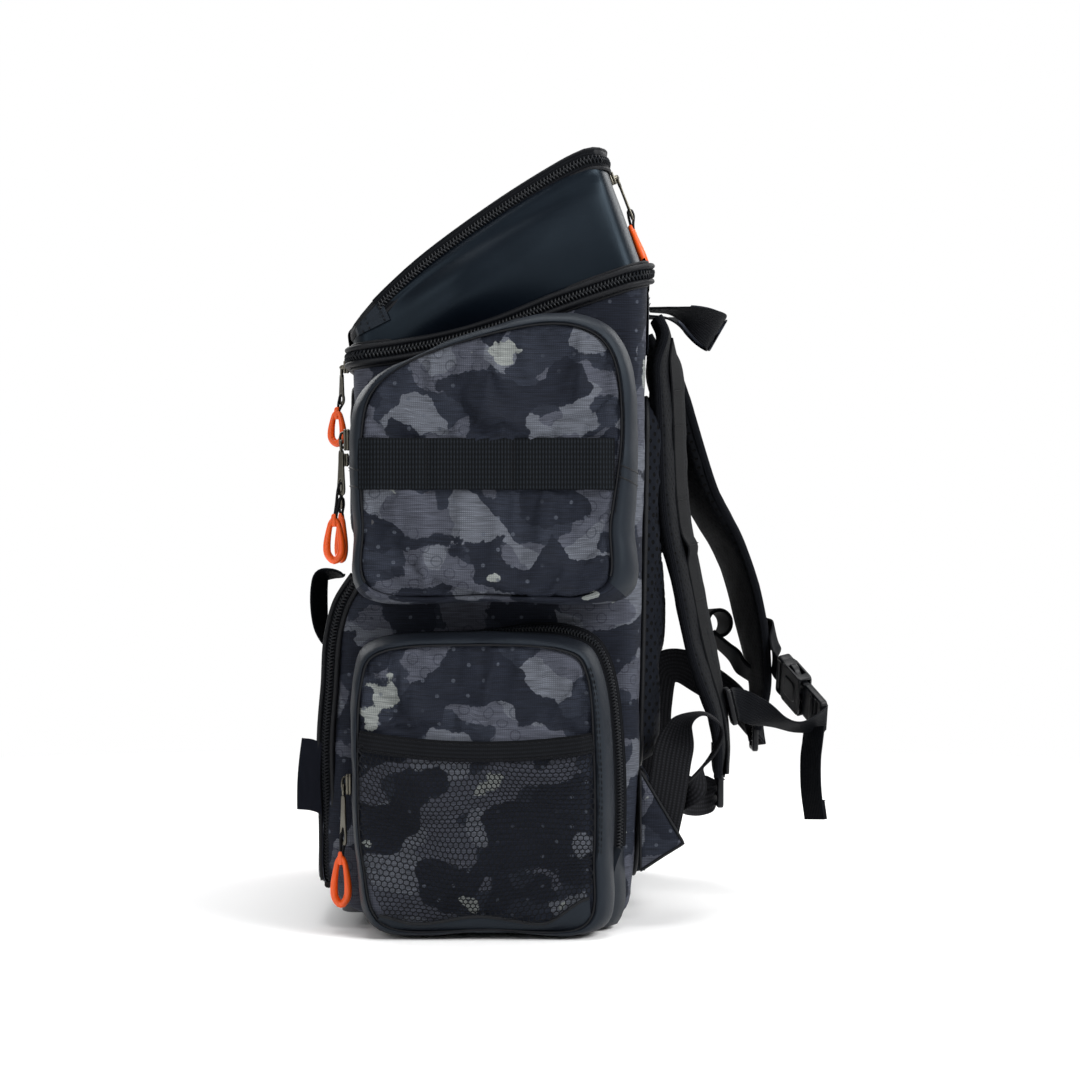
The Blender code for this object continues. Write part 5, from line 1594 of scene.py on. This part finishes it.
def make_handle():
    """The grab handle: webbing that twists outwards, faced with camo underneath."""
    half = [
        ((0.029, 0.1020, 0.3905), (1, 0, 0)),
        ((0.030, 0.1180, 0.3895), (1, 0.1, 0.1)),
        ((0.027, 0.1340, 0.3850), (0.8, 0.3, 0.5)),
        ((0.016, 0.1450, 0.3790), (0.4, 0.45, 0.8)),
    ]
    middle = [((0.0, 0.1475, 0.3765), (0, 0.5, 0.87))]
    other = [((-x, y, z), (-a, b, c)) for (x, y, z), (a, b, c) in reversed(half)]
    line, out = ribbon([*half, *middle, *other], 90)
    out = out * np.sign((out * (0, 0.6, 1)).sum(axis=1, keepdims=True))
    web = sweep(line, out, band(0.0255, 0.0016, steps=8))
    add("handle_webbing", web, "black_webbing", "handle", ["grab_handle"])
    under = sweep((line + out * 0.0016)[16:-16], out[16:-16], band(0.0235, 0.0014, steps=8))
    add("handle_facing", under, "camo_ripstop", "handle")


# --- buckles --------------------------------------------------------------------------------------
def buckle_frame():
    """The buckle's own directions: along it, outwards from the wearer and across it."""
    along = unit(BUCKLE_AXIS)
    outward = unit(BACKWARD - along * along[1])
    return np.stack([along, outward, np.cross(along, outward)])


def in_buckle(part):
    """A part given as (along, outward, across) points, placed at the sternum buckle."""
    return moved(turned(part, buckle_frame()), BUCKLE_CENTRE)


def moulded(outline, thick, round_edge=0.0010, hole=None):
    """A moulded plate: a closed (a, b) outline with rounded rims, about the middle of b's normal.

    Gives points as (a, n, b). hole is another outline with as many points.
    """
    half = thick / 2
    steps = np.radians((0, 30, 60, 90))
    rims = [(round_edge * (1 - math.cos(t)), half - round_edge * (1 - math.sin(t))) for t in steps]
    rims = [(inset, -n) for inset, n in reversed(rims)] + rims

    def wall(line, way):
        rings = []
        for inset, n in rims:
            spots = shrink(np.asarray(line, float), inset * way)
            rings.append(together(spots[:, 0], n, spots[:, 1]))
        return np.array(rings)

    outer = wall(outline, 1)
    parts = [lattice(outer, True)]
    if hole is None:
        for rim, order in ((outer[-1], 1), (outer[0], -1)):
            parts.append((rim, [tuple(range(len(rim)))[::order]], rim[:, ::2]))
    else:
        inner = wall(hole, -1)
        parts.append(lattice(inner[::-1], True))
        parts.append(ring_strip(outer[-1], inner[-1]))
        parts.append(ring_strip(inner[0], outer[0]))
    return join(parts)


def box_outline(a0, a1, b0, b1, radius):
    """A closed rectangle with round corners."""
    turns = np.linspace(0, math.pi / 2, 5)
    corners = ((a1, b1, 0), (a0, b1, 1), (a0, b0, 2), (a1, b0, 3))
    spots = []
    for a, b, quarter in corners:
        ca = a - radius if quarter in (0, 3) else a + radius
        cb = b - radius if quarter in (0, 1) else b + radius
        t = turns + quarter * math.pi / 2
        spots.append(np.stack([ca + radius * np.cos(t), cb + radius * np.sin(t)], axis=1))
    return np.vstack(spots)


def make_buckle():
    """The side-release buckle: housing, tongue and two spring arms."""
    plate = moulded(box_outline(-0.0215, 0.0030, -0.0150, 0.0150, 0.003), 0.0018, 0.0006)
    heel_slot = box_outline(-0.0268, -0.0240, -0.0115, 0.0115, 0.001)
    heel = moulded(box_outline(-0.0300, -0.0205, -0.0150, 0.0150, 0.003), 0.0095, 0.0018, heel_slot)
    posts = [
        moulded(box_outline(a0, a1, w - 0.0009, w + 0.0009, 0.0006), 0.0090, 0.0006)
        for w in (-0.0141, 0.0141)
        for a0, a1 in ((-0.0215, -0.0150), (-0.0030, 0.0030))
    ]
    raised = moulded(box_outline(-0.0180, -0.0020, -0.0080, 0.0080, 0.004), 0.0112, 0.0012)
    housing = [moved(plate, (0, n, 0)) for n in (0.0041, -0.0041)] + [heel, *posts, raised]
    add("buckle_housing", in_buckle(join(housing)), "buckle_plastic", "sternum", ["buckle_female"])

    web_slot = box_outline(0.0215, 0.0245, -0.0105, 0.0105, 0.001)
    plug = [
        moulded(box_outline(0.0045, 0.0300, -0.0130, 0.0130, 0.003), 0.0052, 0.0012, web_slot),
        moulded(box_outline(0.0150, 0.0185, -0.0105, 0.0105, 0.001), 0.0072, 0.0010),
        moulded(box_outline(-0.0140, 0.0055, -0.0026, 0.0026, 0.001), 0.0050, 0.0008),
    ]
    add("buckle_plug", in_buckle(join(plug)), "buckle_plastic", "buckle_male", ["buckle_male"])
    outline = np.array([
        (0.0044, 0.0090), (0.0044, 0.0118), (-0.0060, 0.0125), (-0.0100, 0.0150),
        (-0.0150, 0.0156), (-0.0184, 0.0120), (-0.0184, 0.0094), (-0.0100, 0.0096),
    ])
    for word, sign in (("upper", 1.0), ("lower", -1.0)):
        smooth = smooth_outline(outline, 40) * (1, sign)
        arm = in_buckle(moulded(smooth, 0.0046, 0.0008))
        body = f"buckle_arm_{word}"
        add(f"buckle_spring_{word}", arm, "buckle_plastic", body, [body])


def make_lock(side, sign, lock):
    """A ladder lock that tilts on the strap's end, with three bars and the webbing's turns."""
    place = (sign * lock[0], lock[1], lock[2])
    gap = box_outline(-0.0118, 0.0118, -0.0192, -0.0028, 0.001)
    parts = [moulded(box_outline(-0.0150, 0.0150, -0.0220, 0.0, 0.003), 0.0042, 0.0012, gap)]
    for b in (-0.0080, -0.0140):
        bar = box_outline(-0.0122, 0.0122, b - 0.0013, b + 0.0013, 0.0008)
        parts.append(moulded(bar, 0.0040, 0.0010))
    body = f"ladder_lock_{side}"
    add(f"lock_{side}", moved(join(parts), place), "buckle_plastic", body, [body])
    turn = [
        (0, 0.0042, 0.0180), (0, 0.0040, 0.0060), (0, 0.0030, 0.0000), (0, 0.0006, -0.0030),
        (0, -0.0022, -0.0016), (0, -0.0034, 0.0050), (0, -0.0036, 0.0180),
    ]
    sleeve = spread(catmull(turn), 40) + place
    out = unit(np.cross(ASIDE, np.gradient(sleeve, axis=0)))
    web = sweep(sleeve, out, band(0.0225, 0.0014, steps=8))
    add(f"lock_sleeve_{side}", web, "black_webbing", "bag")


def make_clips():
    """The two clips that hold the chest strap to the shoulder straps' webbing."""
    cos, sin = math.cos(STRAP_LEAN), math.sin(STRAP_LEAN)
    turn = np.array(((1, 0, 0), (0, cos, sin), (0, -sin, cos)))
    gap = box_outline(-0.0095, 0.0095, -0.0085, 0.0085, 0.001)
    parts = join([
        moulded(box_outline(-0.0130, 0.0130, -0.0120, 0.0120, 0.003), 0.0034, 0.0010, gap),
        moulded(box_outline(-0.0100, 0.0100, -0.0016, 0.0016, 0.0010), 0.0040, 0.0010),
        moulded(box_outline(-0.0022, 0.0022, -0.0100, 0.0100, 0.0010), 0.0036, 0.0010),
    ])
    for side, place in CLIP_PLACES.items():
        clip = moved(turned(parts, turn), place)
        add(f"clip_{side}", clip, "buckle_plastic", "sternum", [f"sternum_clip_{side}"])


def make_sternum():
    """The chest strap: clips, buckle, two webbings between them and the webbing's spare end."""
    make_buckle()
    make_clips()
    along, outward, across = buckle_frame()
    cos, sin = math.cos(STRAP_LEAN), math.sin(STRAP_LEAN)
    upright = (0, -sin, cos)
    right, left = (np.array(place) + np.array((0, cos, sin)) * 0.0046 for place in CLIP_PLACES.values())
    near = [
        (right + (0.006, -0.002, 0), upright),
        (right + (-0.0135, 0.0008, 0.0005), upright),
        ((0.046, 0.1700, 0.1275), (0.35, 0.1, 1)),
        ((0.036, 0.1860, 0.1195), (1, 0.1, 0.45)),
        ((0.027, 0.2010, 0.1165), (1, 0.1, 0.4)),
        (BUCKLE_CENTRE + along * 0.0300 + outward * 0.0012, tuple(across)),
        (BUCKLE_CENTRE + along * 0.0235 + outward * 0.0014, tuple(across)),
    ]
    far = [
        (left + (-0.006, -0.002, 0), upright),
        (left + (0.0120, 0.0012, -0.0030), upright),
        (BUCKLE_CENTRE - along * 0.0420, tuple(across)),
        (BUCKLE_CENTRE - along * 0.0255, tuple(across)),
    ]
    start, end = (0.050, 0.17, 0.131), tuple(BUCKLE_CENTRE + along * 0.026)
    webbing = band(0.0198, 0.0014, steps=8)
    for side, route, body in (
        ("right", near, ("sternum", "buckle_male", start, end)),
        ("left", far, "sternum"),
    ):
        web = sweep(*ribbon(route, 70), webbing)
        add(f"chest_strap_{side}", web, "black_webbing", body, [f"sternum_web_{side}"])
    width = np.array((0.80, 0.60, 0.05))
    tail = (
        (0.0150, 0.2120, 0.1150), (0.0175, 0.2105, 0.1050), (0.018, 0.2092, 0.0930),
        (0.018, 0.2095, 0.0740), (0.018, 0.2120, 0.0540),
    )
    line = spread(catmull(tail), 50)
    out = unit(np.cross(width, unit(np.gradient(line, axis=0))))
    seam = len(line) - 11
    strip = sweep(line, out, webbing)
    fold = sweep(line[seam:] + out[seam:] * 0.0012, out[seam:], band(0.0202, 0.0030, steps=8))
    add("chest_strap_tail", [strip, fold], "black_webbing", "buckle_male", ["sternum_tail"])
    row = [line[seam] + across * width + out[seam] * 0.0029 for across in (-0.009, 0.009)]
    row = stitches(row, out[seam], 0.0022, 0.0017, 0.0003)
    add("chest_strap_tail_stitches", row, "thread", "buckle_male")


# --- zip sliders and pulls ------------------------------------------------------------------------
def spin(angle):
    """A turn about the third axis."""
    cos, sin = math.cos(angle), math.sin(angle)
    return np.array(((cos, sin, 0), (-sin, cos, 0), (0, 0, 1)))


def align(line):
    """A closed outline started at its lowest point and turned anticlockwise."""
    start = int(np.argmin(line[:, 1]))
    line = np.roll(line, -start, axis=0)
    after = np.roll(line, -1, axis=0)
    if (line[:, 0] * after[:, 1] - line[:, 1] * after[:, 0]).sum() < 0:
        line = np.roll(line[::-1], 1, axis=0)
    return line


def slider_parts():
    """A slider's two plates and the bridge over them, as (across, outward, along) points."""
    outline = (
        (0.0042, 0.0055), (0.0030, 0.0064), (0, 0.0067), (-0.0030, 0.0064), (-0.0042, 0.0055),
        (-0.0034, 0.0), (-0.0026, -0.0052), (-0.0014, -0.0064), (0.0014, -0.0064), (0.0026, -0.0052),
        (0.0034, 0.0),
    )
    plate = moulded(smooth_outline(outline, 36), 0.0018, 0.0006)
    route = ((0.0032, 0.0048), (0.0052, 0.0036), (0.0058, 0.0), (0.0052, -0.0036), (0.0032, -0.0048))
    bridge = sweep(on_side(0.0, catmull(route)), ASIDE, circle(0.0008, 8) * (1, 1.7))
    return [moved(plate, (0, 0.0009, 0)), moved(plate, (0, 0.0026, 0)), bridge]


def tab_parts(hang, swing):
    """The pull's eye and its slotted metal tab, as (side, outward, up) points from the pivot."""
    turns = np.linspace(0, 2 * math.pi, 20, endpoint=False)
    eye = together(0.0030 * np.cos(turns), 0, -0.0034 + 0.0034 * np.sin(turns))
    half = [
        (0.0014, -0.0062), (0.0022, -0.0085), (0.0024, -0.0140), (0.0031, -0.0230),
        (0.0037, -0.0300), (0.0029, -0.0332), (0, -0.0340),
    ]
    outline = half + [(-a, b) for a, b in reversed(half[:-1])]
    slot = (
        (0.0015, -0.0255), (0.0020, -0.0292), (0.0009, -0.0314), (-0.0009, -0.0314),
        (-0.0020, -0.0292), (-0.0015, -0.0255), (-0.0007, -0.0240), (0.0007, -0.0240),
    )
    outline, slot = (align(smooth_outline(line, 60) * (1, hang)) for line in (outline, slot))
    tab = moulded(outline, 0.0015, 0.0005, slot)
    return [tube(eye, 0.00085, out=BACKWARD, loop=True, sides=8), turned(tab, spin(0.45 * swing))]


def cord_parts(top, grip_top, carried):
    """The loop of cord from the tab's slot down into the grip."""
    radius, knot = 0.00085, (top - 0.004 + grip_top) / 2
    parts = []
    for way in (-1, 1):
        route = [
            (0.0, 0.0014 * way, top + 0.0012), (0.0004 * way, 0.0016 * way, top - 0.002),
            (0.0009 * way, 0.0008 * way, knot), (0.0008 * way, 0.0006 * way, grip_top - 0.002),
        ]
        route = np.array(route) + np.array([0, 0.15, 0.6, 1.0])[:, None] * carried
        parts.append(tube(spread(catmull(route), 16), radius, out=BACKWARD, sides=8))
    turns = np.linspace(0, math.pi, 8)
    bight = together(0, 0.0014 * np.cos(turns), top + 0.0012 + 0.0014 * np.sin(turns))
    return [*parts, tube(bight, radius, out=ASIDE, sides=8)]


def grip_parts(grip_top, grip_low):
    """The rubber loop and the collar that joins it to the cord."""
    tall = grip_top - grip_low
    half = np.array((
        (0.0, 0.02), (0.0021, 0.10), (0.0036, 0.34), (0.0045, 0.62),
        (0.0042, 0.82), (0.0022, 0.95), (0.0, 1.0),
    ))
    right = together(half[:, 0], 0, grip_top - half[:, 1] * tall)
    ring = smooth_outline(np.vstack([right, (right * (-1, 1, 1))[-2:0:-1]]), 44)
    thick = 0.86 + 0.34 * smoothstep(grip_top - ring[:, 2], 0.1 * tall, 0.75 * tall)
    rubber = sweep(ring, BACKWARD, circle(0.00195, 12) * (1.0, 1.12), loop=True, scale=thick)
    stations = np.array((0.0030, 0.0022, 0, -0.0035, -0.0050))
    collar = together(0, 0, grip_top + stations)
    return [rubber, tube(collar, 0.0021, out=BACKWARD, sides=14, scale=(0.55, 0.85, 1.0, 1.05, 0.7))]


def make_slider(
    name, place, outward, along, hang=1.0, down=(0, 0, -1), swing=0.0, lean=0.0, grip=(0.0400, 0.0690)
):
    """A slider on its zip, and the pull on it: metal tab, knotted cord and a rubber loop.

    hang is the pull's length against the usual one, and grip is where its rubber starts and ends.
    swing turns the rubber loop about the way that it hangs, and lean carries it outwards.
    """
    outward, along, down = unit(outward), unit(along), unit(down)
    place = np.array(place)
    on_zip = np.stack([np.cross(along, outward), outward, along])
    hanging = np.stack([unit(np.cross(down, outward)), outward, -down])
    pivot = place + outward * PULL_OFFSET
    slider, pull = f"{name}_slider", f"{name}_pull"

    parts = [moved(turned(p, on_zip), place) for p in slider_parts()]
    add(f"{name}_zip_slider", parts, "antique_metal", slider, [slider])
    parts = [moved(turned(p, hanging), pivot) for p in tab_parts(hang, swing)]
    add(f"{name}_tab", parts, "antique_metal", pull, [pull])

    top, grip_top, grip_low = -0.0290 * hang, -grip[0] * hang, -grip[1] * hang
    carried = BACKWARD * lean
    parts = [moved(turned(p, hanging), pivot) for p in cord_parts(top, grip_top, carried)]
    add(f"{name}_cord", parts, "cord", pull)
    grips = [moved(turned(p, spin(swing)), carried) for p in grip_parts(grip_top, grip_low)]
    parts = [moved(turned(p, hanging), pivot) for p in grips]
    add(f"{name}_grip", parts, "orange_rubber", pull)


def make_sliders():
    """The eight sliders. Each name is that of the zip's bodies, and each place a point on its zip."""
    for side, sign in SIDES:
        make_slider(
            f"upper_{side}", (sign * 0.159, -0.0862, 0.3000), FORWARD, UPWARD,
            swing=math.pi / 2 * sign, lean=0.0042, grip=(0.0480, 0.0735),
        )
        make_slider(
            f"lower_{side}", (sign * 0.159, -0.0848, 0.0900), FORWARD, UPWARD,
            hang=1.1, swing=1.3 * sign, lean=0.0015, grip=(0.0400, 0.0665),
        )
    make_slider("main", (0.045, -0.0943, 0.3515), FORWARD, ASIDE, 0.72, swing=1.1, lean=0.003)
    make_slider("front", (0.080, -0.0920, FRONT_ZIP_HEIGHT), FORWARD, ASIDE, 0.92, swing=0.5)
    make_slider("door", (-0.1395, -0.0990, 0.1030), (-0.45, -0.89, 0), UPWARD, swing=0.4, lean=0.0045)
    slope_out, slope_down = (0, 0.933, 0.361), (0, 0.361, -0.933)  # off the lid's rear edge
    make_slider("lid", (0.100, 0.0738, 0.4660), slope_out, ASIDE, 0.85, slope_down, lean=-0.0030)


# --- stage ----------------------------------------------------------------------------------------
def make_world():
    """White to the camera, and a dimmer white as light."""
    world = bpy.data.worlds.new("surroundings")
    world.use_nodes = True
    tree = world.node_tree
    sky = tree.nodes["Background"]
    sky.inputs["Color"].default_value = (1, 1, 1, 1)
    seen = tree.nodes.new("ShaderNodeLightPath")
    power = tree.nodes.new("ShaderNodeMapRange")
    power.inputs["To Min"].default_value = 0.29
    power.inputs["To Max"].default_value = 1.0
    tree.links.new(seen.outputs["Is Camera Ray"], power.inputs["Value"])
    tree.links.new(power.outputs["Result"], sky.inputs["Strength"])
    bpy.context.scene.world = world


def floor_material():
    """Pale near the bag, where shadows fall, and fading into the surroundings' white."""
    pale = bpy.data.materials.new("floor")
    pale.use_nodes = True
    tree = pale.node_tree
    shader, result = tree.nodes["Principled BSDF"], tree.nodes["Material Output"]
    shader.inputs["Base Color"].default_value = (0.93, 0.93, 0.93, 1)
    shader.inputs["Roughness"].default_value = 0.9
    glow = tree.nodes.new("ShaderNodeEmission")
    glow.inputs["Strength"].default_value = 1.0
    place = tree.nodes.new("ShaderNodeNewGeometry")
    far = tree.nodes.new("ShaderNodeVectorMath")
    far.operation = "LENGTH"
    fade = tree.nodes.new("ShaderNodeMapRange")
    fade.inputs["From Min"].default_value = 0.5
    fade.inputs["From Max"].default_value = 1.3
    blend = tree.nodes.new("ShaderNodeMixShader")
    for source, target in (
        (place.outputs["Position"], far.inputs[0]),
        (far.outputs["Value"], fade.inputs["Value"]),
        (fade.outputs["Result"], blend.inputs["Fac"]),
        (shader.outputs[0], blend.inputs[1]),
        (glow.outputs[0], blend.inputs[2]),
        (blend.outputs[0], result.inputs["Surface"]),
    ):
        tree.links.new(source, target)
    return pale


def make_stage():
    """A pale floor in white surroundings, soft lights and the camera."""
    scene = bpy.context.scene
    make_world()
    turns = np.linspace(0, 2 * math.pi, 96, endpoint=False)
    radii = (0.001, 0.4, 1.2, 4.0, 30.0)
    circles = [together(r * np.cos(turns), r * np.sin(turns), -0.0004) for r in radii]
    verts, faces, _ = lattice(np.array(circles), True)
    mesh = bpy.data.meshes.new("floor")
    mesh.from_pydata(verts.tolist(), [], faces)
    mesh.materials.append(floor_material())
    floor = bpy.data.objects.new("floor", mesh)
    scene.collection.objects.link(floor)

    aim = Vector((0, 0, 0.22))
    for name, place, size, power in (
        ("key", (1.35, 1.45, 1.35), 1.2, 50.0),
        ("fill", (1.6, -1.1, 0.9), 1.2, 9.0),
        ("top", (0.0, 0.1, 2.0), 1.5, 30.0),
        ("rear_left", (-1.4, -1.0, 1.3), 1.3, 20.0),
        ("rear_right", (-1.2, 1.4, 1.2), 1.3, 16.0),
    ):
        lamp = bpy.data.lights.new(name, "AREA")
        lamp.shape = "DISK"
        lamp.size = size
        lamp.energy = power
        light = bpy.data.objects.new(name, lamp)
        light.location = place
        light.rotation_euler = (aim - Vector(place)).to_track_quat("-Z", "Y").to_euler()
        scene.collection.objects.link(light)

    camera = bpy.data.objects.new("camera", bpy.data.cameras.new("camera"))
    camera.data.lens = 89.7
    camera.data.sensor_width = 36.0
    camera.location = (1.80, 0.030, 0.239)
    camera.rotation_euler = (math.pi / 2, 0, math.pi / 2)
    scene.collection.objects.link(camera)
    scene.camera = camera
    scene.view_settings.view_transform = "Standard"


def finish_boards():
    """The two stiffening boards keep the part's own shape."""
    for name in ("divider_shelf", "frame_sheet"):
        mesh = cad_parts[name].data
        mesh.materials.clear()
        mesh.materials.append(MATERIALS["board"])


def main():
    make_stage()
    make_materials()
    finish_boards()
    make_body()
    make_main_zip()
    make_top_box()
    make_lid()
    make_hinge_tapes()
    make_door()
    make_door_loop()
    make_label()
    make_front_pocket()
    for side, sign in SIDES:
        make_pocket("upper", UPPER_RIM, UPPER_FACE, side, sign, 5.0 + sign)
        make_pocket("lower", LOWER_RIM, LOWER_FACE, side, sign, 9.0 + sign)
        make_molle(side, sign)
        make_net(side, sign)
    back_channels = tuple((height, 0.18) for height in (0.150, 0.215, 0.280))
    make_pad("back_cushion", "back_pad", 0.114, 0.096, 0.330, 0.0150, back_channels)
    make_pad("lumbar_cushion", "lumbar_pad", 0.108, 0.026, 0.090, 0.0135, ((0.056, 0.0),))
    make_yoke()
    make_strap("right", 1.0, RIGHT_STRAP, 17.0, 0.50)
    make_strap("left", -1.0, LEFT_STRAP, 13.0, 0.66)
    make_adjuster("right", 1.0, RIGHT_ADJUSTER + RIGHT_ADJUSTER_END)
    make_adjuster("left", -1.0, LEFT_ADJUSTER_SHOWN)
    make_tail_loop()
    make_lock("right", 1.0, (0.078, 0.1445, 0.0908))
    make_lock("left", -1.0, (0.077, 0.1790, 0.1145))
    make_handle()
    make_sternum()
    make_sliders()


main()
